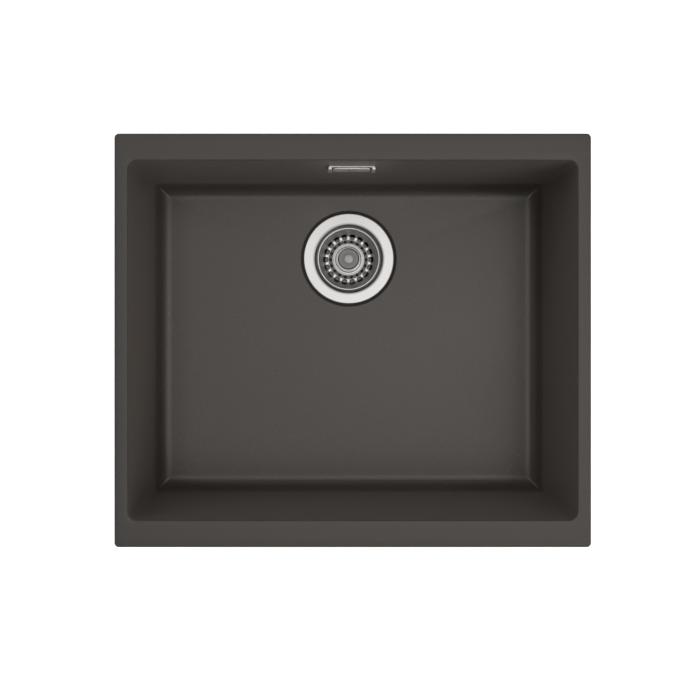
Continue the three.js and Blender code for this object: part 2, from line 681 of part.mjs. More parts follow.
// The cross slides up into the body's wall from below and holds the hub's nut.
function hubCross() {
  let cross = cylinder(HUB_RADIUS, CHAMBER_FLOOR, HUB_TOP, SMALL);
  for (const web of crossWebs(WASTE_HOLE + WEB_SEAT - FIT, BODY_WALL, CHAMBER_FLOOR, HUB_TOP)) {
    cross = cross.add(web);
  }
  return cross.subtract(cylinder(HUB_NUT_RADIUS + FIT, CHAMBER_FLOOR - OVERRUN, HUB_TOP + OVERRUN, SMALL));
}

// Funnel and outlet, plugged into the body's lower end and welded there.
function outletCone() {
  const bore = OUTLET_RADIUS - OUTLET_WALL;
  const plug = WASTE_HOLE - FIT;
  const plugTop = CHAMBER_FLOOR - FIT;
  const ledgeTop = BODY_END - FIT;
  return revolveCorners([
    [plug - BODY_WALL, plugTop],
    [plug - BODY_WALL, BODY_END, 3],
    [bore, OUTLET_TOP, 4],
    [bore, OUTLET_END],
    [OUTLET_RADIUS, OUTLET_END],
    [OUTLET_RADIUS, OUTLET_TOP - FUNNEL_DROP, 2],
    [plug, ledgeTop - FUNNEL_LEDGE, 2],
    [BODY_RADIUS, ledgeTop - FUNNEL_LEDGE],
    [BODY_RADIUS, ledgeTop],
    [plug, ledgeTop],
    [plug, plugTop],
  ], ROUND);
}

function hubNut() {
  return ring(CENTRE_HOLE, HUB_NUT_RADIUS, CHAMBER_FLOOR, HUB_TOP, SMALL);
}

// A hollow screw: its bore takes the basket's stem and catch.
function centreScrew() {
  const bore = STEM_RADIUS + 2 * FIT;
  const boreEnd = STEM_END - OVERRUN;
  return revolveCorners([
    [0, CHAMBER_FLOOR],
    [CENTRE_RADIUS, CHAMBER_FLOOR],
    [CENTRE_RADIUS, CENTRE_SEAT],
    [CENTRE_HEAD_RADIUS, CENTRE_SEAT],
    [CENTRE_HEAD_RADIUS, CENTRE_TOP, 1],
    [bore, CENTRE_TOP],
    [bore, boreEnd],
    [0, boreEnd],
  ], MEDIUM);
}

// ---------------------------------------------------------------- basket

// Cuts laid out evenly round the waste's axis.
function patternAround(piece, count) {
  return Array.from({ length: count }, (_, i) => piece.rotate([0, 0, (360 * i) / count]));
}

function basketSlot() {
  const outline = roundedRectangle(SLOT_LENGTH / 2, SLOT_WIDTH / 2, SLOT_WIDTH / 3, 1);
  const slot = extrude(outline, BASKET_DEPTH).translate(SLOT_CIRCLE, 0, BASKET_FLOOR - BASKET_DEPTH / 2);
  return solid(slot);
}

function basketCup() {
  const rimCentre = BASKET_RADIUS - BASKET_BEAD;
  const rimTop = -LEDGE_DEPTH + FIT + BASKET_LIP + BASKET_BEAD;
  const path = filleted([
    [BASKET_RADIUS, -LEDGE_DEPTH + FIT],
    [BASKET_RADIUS, rimTop, BASKET_BEAD],
    [rimCentre - BASKET_BEAD + BEAD_TUCK, rimTop, BEAD_INNER],
    [BASKET_FOOT_RADIUS, BASKET_FLOOR, BASKET_FOOT],
    [STEM_HOLE, BASKET_FLOOR],
  ], false);
  const shell = revolve(sheetOutline(path, BASKET_SHEET), BASKET_FACETS);
  const hole = cylinder(HOLE_RADIUS, BASKET_FLOOR - 2 * OVERRUN, BASKET_FLOOR + 2 * OVERRUN, 6);
  const holes = patternAround(hole.translate([SLOT_CIRCLE - HOLE_STEP, 0, 0]), SLOT_COUNT);
  const slots = patternAround(basketSlot(), SLOT_COUNT);
  return [...slots, ...holes].reduce((cup, cut) => cup.subtract(cut), shell);
}

// A pressed disc with two raised rings that carries the knob.
function knobBase() {
  const foot = BASKET_FLOOR + FIT;
  const step = foot + KNOB_BASE_HEIGHT / 2;
  const path = filleted([
    [KNOB_BASE_RADIUS, foot],
    [KNOB_BASE_RADIUS, step, KNOB_BASE_BEND],
    [KNOB_BASE_RADIUS - KNOB_BASE_STEP, step],
    [KNOB_BASE_RADIUS - KNOB_BASE_STEP - KNOB_BASE_BEND, foot + KNOB_BASE_HEIGHT],
    [STEM_HOLE, foot + KNOB_BASE_HEIGHT],
  ], false);
  return revolve(sheetOutline(path, KNOB_BASE_SHEET), MEDIUM);
}

function basketKnob() {
  return revolveCorners([
    [STEM_HOLE, KNOB_FOOT],
    [KNOB_NECK + 1, KNOB_FOOT],
    [KNOB_NECK, KNOB_FOOT + KNOB_HEIGHT / 2, 3],
    [KNOB_RADIUS, KNOB_TOP - KNOB_BAND, 1.5, 1],
    [KNOB_RADIUS, KNOB_TOP, 1],
    [KNOB_RADIUS - KNOB_LIP, KNOB_TOP],
    [KNOB_RADIUS - KNOB_LIP - KNOB_DISH, CAP_SEAT],
    [STEM_RADIUS, CAP_SEAT],
    [STEM_RADIUS, CAP_SEAT - KNOB_SOCKET],
    [0, CAP_SEAT - KNOB_SOCKET],
    [0, STEM_TOP + FIT],
    [STEM_HOLE, STEM_TOP + FIT],
  ], MEDIUM);
}

function knobCap() {
  const peg = STEM_RADIUS - FIT;
  const seat = CAP_SEAT + FIT;
  return revolveCorners([
    [0, seat - CAP_PEG],
    [peg, seat - CAP_PEG],
    [peg, seat],
    [CAP_RADIUS, seat],
    [CAP_RADIUS, seat + CAP_HEIGHT, 0.8],
    [0, seat + CAP_HEIGHT],
  ], SMALL);
}

function basketStem() {
  const groove = STEM_RADIUS - CATCH_DEPTH;
  const grooveBottom = CATCH_TOP - CATCH_WIDTH - 2 * FIT;
  return revolveCorners([
    [0, STEM_END],
    [STEM_RADIUS, STEM_END, 1, 2],
    [STEM_RADIUS, grooveBottom],
    [groove, grooveBottom],
    [groove, CATCH_TOP],
    [STEM_RADIUS, CATCH_TOP],
    [STEM_RADIUS, STEM_TOP],
    [0, STEM_TOP],
  ], SMALL);
}

function catchRing() {
  const inner = STEM_RADIUS - CATCH_DEPTH + FIT;
  const top = CATCH_TOP - FIT;
  return ring(inner, STEM_RADIUS + FIT, top - CATCH_WIDTH, top, SMALL);
}

function sealHolder() {
  return ring(STEM_HOLE, HOLDER_RADIUS, HOLDER_TOP - HOLDER_THICKNESS, HOLDER_TOP, MEDIUM);
}

// A rubber bell: its lip closes on the cup's bottom, outside the waterways.
function basketSeal() {
  const lip = CUP_FLOOR + FIT;
  const web = SEAL_TOP - SEAL_WEB;
  return revolveCorners([
    [STEM_HOLE, SEAL_TOP],
    [STEM_HOLE, web],
    [SEAL_RADIUS - SEAL_LIP - SEAL_FLARE, web, 1],
    [SEAL_RADIUS - SEAL_LIP, lip],
    [SEAL_RADIUS, lip, 1],
    [SEAL_RADIUS - SEAL_SHOULDER, SEAL_TOP, 2],
  ], MEDIUM);
}

function stemNut() {
  const outline = Array.from({ length: 6 }, (_, i) => {
    const angle = (i * Math.PI) / 3;
    return new THREE.Vector2(Math.cos(angle), Math.sin(angle)).multiplyScalar(STEM_NUT_RADIUS);
  });
  const nut = solid(extrude(outline, STEM_NUT_HEIGHT).translate(0, 0, STEM_NUT_TOP - STEM_NUT_HEIGHT));
  return nut.subtract(cylinder(STEM_HOLE, CENTRE_TOP, SEAL_TOP, SMALL));
}

// ---------------------------------------------------------------- overflow

// The frame and plate are drawn facing +Z; their group is turned to face out of the drafted rear wall.

// Height of the plate's back, which bows towards the wall in the middle.
function plateBack(x) {
  return PLATE_BACK - PLATE_CROWN * (1 - (x / PLATE_HALF) ** 2);
}

function overflowFrame() {
  const plate = solid(extrude(overflowOpening(OVERFLOW_CORNER, FRAME_LAP), FRAME_THICKNESS));
  const window = solid(extrude(overflowOpening(), 3 * FRAME_THICKNESS).translate(0, 0, -FRAME_THICKNESS));
  let frame = plate.subtract(window);
  const nibY = FRAME_HALF_Y - FRAME_LAP / 2;
  for (const side of [-1, 1]) {
    const cheek = roundedRectangle(FRAME_LAP / 2, FRAME_HALF_Y, CHEEK_CORNER, BEND_STEPS);
    const cheekX = side * (FRAME_HALF_X - FRAME_LAP / 2);
    frame = frame.add(solid(extrude(cheek, CHEEK_DEPTH).translate(cheekX, 0, 0)));
    for (const nibX of [-OVERFLOW_WIDTH / 3, OVERFLOW_WIDTH / 3]) {
      const xRange = [nibX - NIB_WIDTH / 2, nibX + NIB_WIDTH / 2];
      const yRange = [side * nibY - NIB_HEIGHT / 2, side * nibY + NIB_HEIGHT / 2];
      const top = plateBack(Math.abs(nibX) - NIB_WIDTH / 2) - FIT;
      frame = frame.add(block(xRange, yRange, [FRAME_THICKNESS / 2, top]));
    }
  }
  return frame;
}

// A plate whose back bows towards the wall, with a countersunk hole for the screw.
function overflowPlate() {
  const height = 2 * (FRAME_HALF_Y - PLATE_MARGIN);
  const back = Array.from({ length: PLATE_STEPS + 1 }, (_, i) => {
    const x = PLATE_HALF * ((2 * i) / PLATE_STEPS - 1);
    return new THREE.Vector2(x, plateBack(x));
  });
  const front = [PLATE_HALF, -PLATE_HALF].map((x) => new THREE.Vector2(x, PLATE_FRONT));
  const outline = [...back, ...front];
  const plate = solid(extrude(outline, height).translate(0, 0, -height / 2).rotateX(Math.PI / 2));
  const hole = cylinder(OVERFLOW_SCREW + 2 * FIT, 0, 2 * PLATE_FRONT, SMALL);
  return plate.subtract(hole);
}

function alongRearwards(piece, y) {
  return piece.rotate([-90, 0, 0]).translate([0, y, -OVERFLOW_DROP]);
}

function overflowSeal() {
  const sheet = extrudeAlongY(overflowOpening(BOX_CORNER, BOX_LAP), PAD_Y + FIT, OVERFLOW_SEAL);
  const inner = extrudeAlongY(overflowOpening(), PAD_Y - OVERRUN, OVERFLOW_SEAL + 3 * OVERRUN);
  return sheet.subtract(inner).translate([0, 0, -OVERFLOW_DROP]);
}

function rectanglePoints(halfX, y, z) {
  const corners = [[-halfX, y[0]], [halfX, y[0]], [halfX, y[1]], [-halfX, y[1]]];
  return corners.map(([px, py]) => new THREE.Vector3(px, py, z));
}

// The box behind the slot: a flange, a shell, a square-to-round funnel and a spigot for the hose.
function overflowBox() {
  const halfX = OVERFLOW_WIDTH / 2;
  const halfZ = OVERFLOW_HEIGHT / 2;
  const back = BOX_Y + BOX_DEPTH;
  const funnelEnd = BOX_BOTTOM_Z - BOX_FUNNEL;
  const outerHalfX = halfX + BOX_WALL;
  const topZ = -OVERFLOW_DROP + halfZ + BOX_WALL;
  const flange = overflowOpening(BOX_CORNER, BOX_LAP);
  const shell = block([-outerHalfX, outerHalfX], [BOX_Y, back], [BOX_BOTTOM_Z, topZ]);
  const outerPoints = [
    ...rectanglePoints(outerHalfX, [BOX_Y, back], BOX_BOTTOM_Z),
    ...circlePoints(SPIGOT_RADIUS, funnelEnd, HOSE_Y, MEDIUM),
  ];
  const innerPoints = [
    ...rectanglePoints(halfX, [BOX_Y + BOX_WALL, back - BOX_WALL], BOX_BOTTOM_Z + BOX_WALL),
    ...circlePoints(HOSE_BORE, funnelEnd, HOSE_Y, SMALL),
  ];
  const room = block(
    [-halfX, halfX],
    [BOX_Y - OVERRUN, back - BOX_WALL],
    [BOX_BOTTOM_Z + BOX_WALL, topZ - BOX_WALL],
  );
  const spigot = cylinder(SPIGOT_RADIUS, BOX_SPIGOT_Z, funnelEnd, MEDIUM);
  const bore = cylinder(HOSE_BORE, BOX_SPIGOT_Z - OVERRUN, funnelEnd, SMALL);
  const bossRadius = OVERFLOW_NUT_RADIUS + FIT + OVERFLOW_BOSS_WALL;
  const boss = cylinder(bossRadius, 0, back - BOX_WALL / 2 - OVERFLOW_BOSS_Y, SMALL);
  const pocket = cylinder(OVERFLOW_NUT_RADIUS + FIT, -OVERRUN, OVERFLOW_NUT_LENGTH + FIT, SMALL);
  return extrudeAlongY(flange, BOX_Y, BOX_FLANGE).translate([0, 0, -OVERFLOW_DROP])
    .add(shell)
    .add(hull(outerPoints))
    .add(spigot.translate([0, HOSE_Y, 0]))
    .subtract(room)
    .subtract(hull(innerPoints))
    .subtract(bore.translate([0, HOSE_Y, 0]))
    .add(alongRearwards(boss, OVERFLOW_BOSS_Y))
    .subtract(alongRearwards(pocket, OVERFLOW_BOSS_Y));
}

function overflowNut() {
  const nut = ring(OVERFLOW_SCREW + FIT, OVERFLOW_NUT_RADIUS, 0, OVERFLOW_NUT_LENGTH, SMALL);
  return alongRearwards(nut, OVERFLOW_BOSS_Y);
}

// A pan-head screw from the cover plate into the nut behind the wall.
function overflowScrew() {
  const wallY = BOWL_LENGTH / 2 - wallInset(-OVERFLOW_DROP);
  const plateY = wallY - FIT - PLATE_FRONT;
  const length = OVERFLOW_BOSS_Y + OVERFLOW_NUT_LENGTH - OVERRUN - plateY;
  const crown = -FIT - OVERFLOW_SCREW_CROWN;
  const screw = revolveCorners([
    [0, crown],
    [OVERFLOW_SCREW_HEAD, crown, 0.6, 2],
    [OVERFLOW_SCREW_HEAD, -FIT],
    [OVERFLOW_SCREW, -FIT],
    [OVERFLOW_SCREW, length],
    [0, length],
  ], SMALL);
  return alongRearwards(screw, plateY);
}

// ---------------------------------------------------------------- hose and unions

// The hose's route in the plane x = 0, as (y, z): down, out in a bow where the lower run needs the
// room, round under the bowl and straight into the waste body's inlet.
function hoseRoute() {
  const startZ = BOX_SPIGOT_Z - HOSE_START;
  const endY = BODY_SPIGOT_Y + HOSE_START;
  const endZ = FLANGE_Z + SPIGOT_Z;
  const leadOut = 2 * HOSE_RADIUS;
  const bow = Math.max(endY + leadOut + HOSE_BEND - HOSE_Y, 0);
  const lean = Math.acos(1 - bow / (2 * HOSE_BEND));
  const centreY = HOSE_Y + bow - HOSE_BEND;
  const centreZ = endZ + HOSE_BEND;
  const turnZ = centreZ + 2 * HOSE_BEND * Math.sin(lean);
  const route = new THREE.Path();
  route.moveTo(HOSE_Y, startZ);
  route.lineTo(HOSE_Y, turnZ);
  if (bow > 0) {
    route.absarc(HOSE_Y + HOSE_BEND, turnZ, HOSE_BEND, Math.PI, Math.PI + lean, false);
  }
  route.absarc(centreY, centreZ, HOSE_BEND, lean, -Math.PI / 2, true);
  route.lineTo(endY, endZ);
  return route;
}

function hoseRing(route, distance, radius) {
  const u = THREE.MathUtils.clamp(distance / route.getLength(), 0, 1);
  const place = route.getPointAt(u);
  const along = route.getTangentAt(u);
  return Array.from({ length: HOSE_SIDES }, (_, i) => {
    const angle = (2 * Math.PI * (i + 0.5)) / HOSE_SIDES;
    const out = radius * Math.cos(angle);
    return new THREE.Vector3(radius * Math.sin(angle), place.x - out * along.y, place.y + out * along.x);
  });
}

function overflowHose() {
  const route = hoseRoute();
  const length = route.getLength();
  const ribs = Math.round((length - 2 * HOSE_COLLAR) / HOSE_PITCH);
  const pitch = (length - 2 * HOSE_COLLAR) / ribs;
  const valley = HOSE_RADIUS - HOSE_RIB;
  const rings = [hoseRing(route, 0, SPIGOT_RADIUS), hoseRing(route, HOSE_COLLAR, SPIGOT_RADIUS)];
  for (let rib = 0; rib < ribs; rib += 1) {
    rings.push(hoseRing(route, HOSE_COLLAR + rib * pitch, valley));
    rings.push(hoseRing(route, HOSE_COLLAR + (rib + 0.5) * pitch, HOSE_RADIUS));
  }
  rings.push(hoseRing(route, length - HOSE_COLLAR, valley));
  rings.push(hoseRing(route, length - HOSE_COLLAR, SPIGOT_RADIUS), hoseRing(route, length, SPIGOT_RADIUS));
  const boreRings = Math.ceil(ribs / BORE_RING_RIBS);
  for (let step = boreRings; step >= 0; step -= 1) {
    rings.push(hoseRing(route, (length * step) / boreRings, HOSE_BORE));
  }
  const triangles = bandTriangles(rings.length, HOSE_SIDES, true);
  return solid(geometryFrom(rings.flat(), triangles));
}

// Union pieces are drawn on the spigot's axis, with its end face at z = 0 and the hose leaving along +Z.
function hoseWasher() {
  return ring(HOSE_BORE + FIT, SPIGOT_RADIUS, FIT, FIT + WASHER, MEDIUM);
}

function hoseNut() {
  const inside = SPIGOT_RADIUS + FIT;
  const shoulder = HOSE_START + HOSE_COLLAR + FIT;
  const back = shoulder + NUT_BACK;
  const sleeve = revolveCorners([
    [inside, -NUT_SKIRT],
    [inside + NUT_WALL, -NUT_SKIRT],
    [inside + NUT_WALL, back, 1.2, 1],
    [HOSE_RADIUS + FIT, back],
    [HOSE_RADIUS + FIT, shoulder],
    [inside, shoulder],
  ], MEDIUM);
  const surface = inside + NUT_WALL;
  const grip = block(
    [surface - OVERRUN / 2, surface + NUT_GRIP_DEPTH],
    [-NUT_GRIP_WIDTH / 2, NUT_GRIP_WIDTH / 2],
    [-NUT_SKIRT + NUT_GRIP_WIDTH, back - NUT_GRIP_WIDTH],
  );
  return patternAround(grip, NUT_GRIPS).reduce((nut, piece) => nut.add(piece), sleeve);
}

// ---------------------------------------------------------------- materials

const LOOKS = {
  composite: { color: 0x504c49, roughness: 0.62, metalness: 0 },
  polishedSteel: { color: 0xd8d6d4, roughness: 0.22, metalness: 1 },
  brushedSteel: { color: 0xb4b0ac, roughness: 0.35, metalness: 1 },
  darkSteel: { color: 0x8e8b87, roughness: 0.3, metalness: 1 },
  brass: { color: 0xb9985a, roughness: 0.35, metalness: 1 },
  rubber: { color: 0x1f1f20, roughness: 0.85, metalness: 0 },
  foam: { color: 0x2c2c2d, roughness: 0.95, metalness: 0 },
  bodyPlastic: { color: 0xd9d8d4, roughness: 0.5, metalness: 0 },
  hosePlastic: { color: 0xc9c9c6, roughness: 0.55, metalness: 0 },
  nutPlastic: { color: 0x3a3b3d, roughness: 0.5, metalness: 0 },
};

function part(name, body, look) {
  const mesh = new THREE.Mesh(geometryOf(body), new THREE.MeshStandardMaterial(LOOKS[look]));
  mesh.name = name;
  return mesh;
}

// ---------------------------------------------------------------- assembly

function rimInserts() {
  return insertPlaces().map(([x, y], i) => {
    const insert = part(`rim_insert_${i + 1}`, rimInsert(), 'brass');
    insert.position.set(x, y, BOSS_FACE_Z);
    return insert;
  });
}

function basketGroup() {
  const group = new THREE.Group();
  group.add(
    part('basket_cup', basketCup(), 'darkSteel'),
    part('knob_base', knobBase(), 'polishedSteel'),
    part('basket_knob', basketKnob(), 'polishedSteel'),
    part('knob_cap', knobCap(), 'brushedSteel'),
    part('basket_stem', basketStem(), 'brushedSteel'),
    part('seal_holder', sealHolder(), 'brushedSteel'),
    part('basket_seal', basketSeal(), 'rubber'),
    part('stem_nut', stemNut(), 'brass'),
    part('catch_ring', catchRing(), 'darkSteel'),
  );
  return group;
}

function wasteGroup() {
  const group = new THREE.Group();
  group.position.set(0, WASTE_Y, FLANGE_Z);
  group.add(
    part('waste_flange', wasteFlange(), 'polishedSteel'),
    part('flange_gasket', flangeGasket(), 'foam'),
    part('body_gasket', bodyGasket(), 'rubber'),
    part('waste_body', wasteBody(), 'bodyPlastic'),
    part('hub_cross', hubCross(), 'bodyPlastic'),
    part('outlet_cone', outletCone(), 'bodyPlastic'),
    part('hub_nut', hubNut(), 'brass'),
    part('centre_screw', centreScrew(), 'brushedSteel'),
    basketGroup(),
  );
  return group;
}

// On the drafted rear wall, facing into the bowl.
function overflowFaceGroup() {
  const group = new THREE.Group();
  group.position.set(0, BOWL_LENGTH / 2 - wallInset(-OVERFLOW_DROP) - FIT, -OVERFLOW_DROP);
  group.rotation.x = Math.PI / 2 - DRAFT;
  group.add(
    part('overflow_frame', overflowFrame(), 'brushedSteel'),
    part('overflow_plate', overflowPlate(), 'brushedSteel'),
  );
  return group;
}

function overflowRearGroup() {
  const group = new THREE.Group();
  group.add(
    part('overflow_screw', overflowScrew(), 'polishedSteel'),
    part('overflow_nut', overflowNut(), 'brass'),
    part('overflow_seal', overflowSeal(), 'rubber'),
    part('overflow_box', overflowBox(), 'bodyPlastic'),
    part('overflow_hose', overflowHose(), 'hosePlastic'),
  );
  return group;
}

function hoseUnion(name) {
  const group = new THREE.Group();
  group.add(
    part(`hose_washer_${name}`, hoseWasher(), 'rubber'),
    part(`hose_nut_${name}`, hoseNut(), 'nutPlastic'),
  );
  return group;
}

const topUnion = hoseUnion('top');
topUnion.position.set(0, HOSE_Y, BOX_SPIGOT_Z);
topUnion.rotation.x = Math.PI;

const bottomUnion = hoseUnion('bottom');
bottomUnion.position.set(0, BODY_SPIGOT_Y, FLANGE_Z + SPIGOT_Z);
bottomUnion.rotation.x = -Math.PI / 2;

const sink = new THREE.Group();
sink.add(part('sink_bowl', sinkBowl(), 'composite'));
sink.add(...rimInserts());
sink.add(wasteGroup(), overflowFaceGroup(), overflowRearGroup(), topUnion, bottomUnion);

export default sink;
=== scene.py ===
import math

import bmesh
import bpy
import numpy as np
from mathutils import Matrix, Vector


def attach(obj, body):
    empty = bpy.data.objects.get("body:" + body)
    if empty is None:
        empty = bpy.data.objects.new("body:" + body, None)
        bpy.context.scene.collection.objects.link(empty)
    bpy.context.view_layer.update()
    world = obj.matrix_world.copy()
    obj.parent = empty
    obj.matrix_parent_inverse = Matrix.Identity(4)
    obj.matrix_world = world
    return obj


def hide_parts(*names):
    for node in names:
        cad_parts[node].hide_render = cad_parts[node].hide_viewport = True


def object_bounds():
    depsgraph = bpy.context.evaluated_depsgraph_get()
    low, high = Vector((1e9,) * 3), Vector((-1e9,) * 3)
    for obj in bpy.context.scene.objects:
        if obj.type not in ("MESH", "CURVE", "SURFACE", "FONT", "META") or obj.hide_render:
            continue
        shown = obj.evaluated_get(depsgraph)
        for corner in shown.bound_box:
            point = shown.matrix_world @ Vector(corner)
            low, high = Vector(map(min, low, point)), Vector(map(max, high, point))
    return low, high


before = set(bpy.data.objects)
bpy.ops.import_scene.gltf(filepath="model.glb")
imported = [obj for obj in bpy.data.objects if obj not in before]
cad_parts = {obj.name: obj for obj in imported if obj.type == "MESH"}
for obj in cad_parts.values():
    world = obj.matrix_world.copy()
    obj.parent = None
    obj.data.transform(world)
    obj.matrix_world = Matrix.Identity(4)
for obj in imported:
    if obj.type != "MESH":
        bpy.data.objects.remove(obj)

cad_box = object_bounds()

# ---- Bowl ---------------------------------------------------------------------------------
# One casting in dark quartz composite: a flat rim, steep walls that lean 1.5 degrees, and a floor
# that falls to the waste. The rim hangs from the worktop on clamps screwed into bosses below it;
# gussets stiffen it, and a pad on the rear wall carries the overflow box. Sizes are millimetres.

MM = 0.001
OPENING_X, OPENING_Y, OPENING_CORNER = 250, 200, 10  # half sizes and corner radius
RIM_X, RIM_Y, RIM_CORNER = 265, 230, 5
LEAST_CORNER = 1.5  # of the walls low down, where the lean and the fillet use up the radius
DEPTH, FALL = 200, 2
LEAN = math.tan(math.radians(1.5))
WALL, FLOOR = 8, 10
FILLET = 20  # between walls and floor
EDGE, UNDER_EDGE = 1.5, 0.8  # roundings of the rim above and below
RIM_UNDER = -12
BOSS_PLACES = [(x, y) for y in (-219, 219) for x in (-200, -70, 70, 200)]
WASTE_Y = 101
SEAT_Z, SEAT_HOLE = -205.6, 45  # the waste's seat and the hole in it
UNDERSIDE_Z = -216
OVERFLOW_Z = -47.5


def rounded(corners, closed=True, steps=6):
    """Outline of corners (x, y, radius): each corner becomes an arc that touches both its sides, with
    its centre at radius / sin(half the corner's angle) along the line that halves the corner."""
    corners = [(*corner, 0)[:3] for corner in corners]
    outline = []
    for i, (x, y, radius) in enumerate(corners):
        here = np.array([x, y], float)
        if radius == 0 or (not closed and i in (0, len(corners) - 1)):
            outline.append(here[None])
            continue
        back = np.array(corners[i - 1][:2]) - here
        on = np.array(corners[(i + 1) % len(corners)][:2]) - here
        back, on = back / np.linalg.norm(back), on / np.linalg.norm(on)
        half = np.arccos(np.clip(back @ on, -1, 1)) / 2
        middle = (back + on) / np.linalg.norm(back + on)
        centre = here + middle * radius / np.sin(half)
        start = here + back * radius / np.tan(half) - centre
        side = -np.sign(back[0] * on[1] - back[1] * on[0])
        turn = side * (np.pi - 2 * half) * np.linspace(0, 1, steps + 1)
        cos, sin = np.cos(turn), np.sin(turn)
        outline.append(centre + np.stack(
            [start[0] * cos - start[1] * sin, start[0] * sin + start[1] * cos], -1))
    return np.concatenate(outline)


def finer(outline, step, closed=True):
    """The same outline with points no further apart than step: each side is cut into equal shares."""
    ends = np.roll(outline, -1, 0) if closed else outline[1:]
    rows = []
    for start, end in zip(outline, ends):
        count = max(1, math.ceil(np.linalg.norm(end - start) / step))
        rows.append(start + (end - start) * np.arange(count)[:, None] / count)
    return np.concatenate(rows if closed else rows + [outline[-1:]])


def rectangle(half_x, half_y, radius, corner=10, across=36, along=28):
    """Points round a rectangle with round corners, x = cx + r cos a and y = cy + r sin a, joined by
    straight sides. Sides and corners have the same number of points at any size, so that rectangles
    of different sizes join row to row."""

    def arc(i, share):
        sx, sy = [(1, 1), (-1, 1), (-1, -1), (1, -1)][i % 4]
        angle = np.pi / 2 * (i + share)
        centre = np.array([sx * (half_x - radius), sy * (half_y - radius)])
        return centre + radius * np.stack([np.cos(angle), np.sin(angle)], -1)

    points = []
    for i in range(4):
        bend = arc(i, np.linspace(0, 1, corner + 1))
        count = across if i % 2 == 0 else along
        side = bend[-1] + (arc(i + 1, 0) - bend[-1]) * np.arange(1, count)[:, None] / count
        points += [bend, side]
    return np.concatenate(points)


def at_height(outline, z):
    """The points (x, y) of an outline, all at height z."""
    return np.column_stack([outline, np.full(len(outline), float(z))])


def turned(outline, facets, lead=0.0):
    """Turns an outline of (radius, height) about Z: x = r cos a, y = r sin a, one row for each point.
    The angles start at lead facets."""
    angle = 2 * np.pi * (np.arange(facets) + lead) / facets
    radius, height = outline[:, :1], outline[:, 1:]
    return np.stack([radius * np.cos(angle), radius * np.sin(angle), height + 0 * angle], -1)


def lathe(corners, facets, step=None):
    """Turns a closed outline of corners (radius, height, corner radius) about Z, with the outline's
    points no further apart than step."""
    outline = rounded(corners)
    return turned(finer(outline, step) if step else outline, facets)


def grid_faces(rows, columns, wrap_rows, wrap_columns):
    """Corner numbers of each quad between neighbouring rows and columns of a grid."""
    row = np.arange(rows if wrap_rows else rows - 1)
    column = np.arange(columns if wrap_columns else columns - 1)
    row, column = np.meshgrid(row, column, indexing="ij")
    up, on = (row + 1) % rows, (column + 1) % columns
    corners = [row * columns + column, row * columns + on, up * columns + on, up * columns + column]
    return np.stack(corners, -1).reshape(-1, 4)


def mesh_of(name, skins):
    """A mesh of skins, each (points, wrap_rows, wrap_columns) with points (rows, columns, 3) in
    millimetres. A closed skin whose volume comes out negative is turned to face outwards."""
    corners, faces, start = [], [], 0
    for points, wrap_rows, wrap_columns in skins:
        rows, columns = points.shape[:2]
        quads = grid_faces(rows, columns, wrap_rows, wrap_columns)
        flat = points.reshape(-1, 3)
        a, b, c, d = (flat[quads[:, i]] for i in range(4))
        volume = (np.cross(a, b) * c).sum() + (np.cross(a, c) * d).sum()
        if volume < 0:
            quads = quads[:, ::-1]
        corners.append(flat * MM)
        faces.append(quads + start)
        start += rows * columns
    mesh = bpy.data.meshes.new(name)
    mesh.from_pydata(np.concatenate(corners).tolist(), [], np.concatenate(faces).tolist())
    welded = bmesh.new()
    welded.from_mesh(mesh)
    bmesh.ops.remove_doubles(welded, verts=welded.verts, dist=2e-6)
    bmesh.ops.dissolve_degenerate(welded, dist=1e-7, edges=welded.edges)
    welded.to_mesh(mesh)
    welded.free()
    return mesh


def add_object(name, data):
    """Puts a mesh, a lamp or a camera into the scene, at the origin."""
    made = bpy.data.objects.new(name, data)
    bpy.context.scene.collection.objects.link(made)
    return made


def closed_shape(name, *grids):
    """An object of grids that close on themselves in both directions."""
    return add_object(name, mesh_of(name, [(grid, True, True) for grid in grids]))


def settle(piece):
    """Applies the modifiers of a piece to its mesh."""
    bpy.context.view_layer.update()
    done = bpy.data.meshes.new_from_object(piece.evaluated_get(bpy.context.evaluated_depsgraph_get()))
    piece.modifiers.clear()
    piece.data = done
    return piece


def soften(piece, width, angle=30):
    """Rounds the edges at which the surface bends by more than an angle in degrees."""
    rounding = piece.modifiers.new("rounding", "BEVEL")
    rounding.width = width * MM
    rounding.segments = 3
    rounding.limit_method = "ANGLE"
    rounding.angle_limit = math.radians(angle)
    return settle(piece)


def prism(name, outline, low, high, bevel=0.0, axis="z"):
    """An outline carried straight from low to high along an axis, its edges rounded by bevel. The
    outline is (x, y) along z, (x, z) along y and (y, z) along x."""
    outline = np.asarray(outline, float)
    count = len(outline)
    points = np.concatenate([at_height(outline, low), at_height(outline, high)])
    area = np.sum(outline[:, 0] * np.roll(outline[:, 1], -1) - np.roll(outline[:, 0], -1) * outline[:, 1])
    ring = np.arange(count)
    sides = np.stack([ring, np.roll(ring, -1), np.roll(ring, -1) + count, ring + count], -1)
    faces = sides.tolist() + [ring[::-1].tolist(), (ring + count).tolist()]
    if (area < 0) != (axis == "y"):  # swapping y and z turns the faces round
        faces = [face[::-1] for face in faces]
    points = points[:, {"x": [2, 0, 1], "y": [0, 2, 1], "z": [0, 1, 2]}[axis]]
    mesh = bpy.data.meshes.new(name)
    mesh.from_pydata((points * MM).tolist(), [], faces)
    made = add_object(name, mesh)
    return soften(made, bevel) if bevel else made


def combine(piece, others, operation="UNION"):
    """Joins other closed shapes to a piece, or cuts them out of it, and removes them."""
    for other in others:
        step = piece.modifiers.new("combine", "BOOLEAN")
        step.operation = operation
        step.solver = "MANIFOLD"
        step.object = other
    settle(piece)
    for other in others:
        bpy.data.objects.remove(other)
    return piece


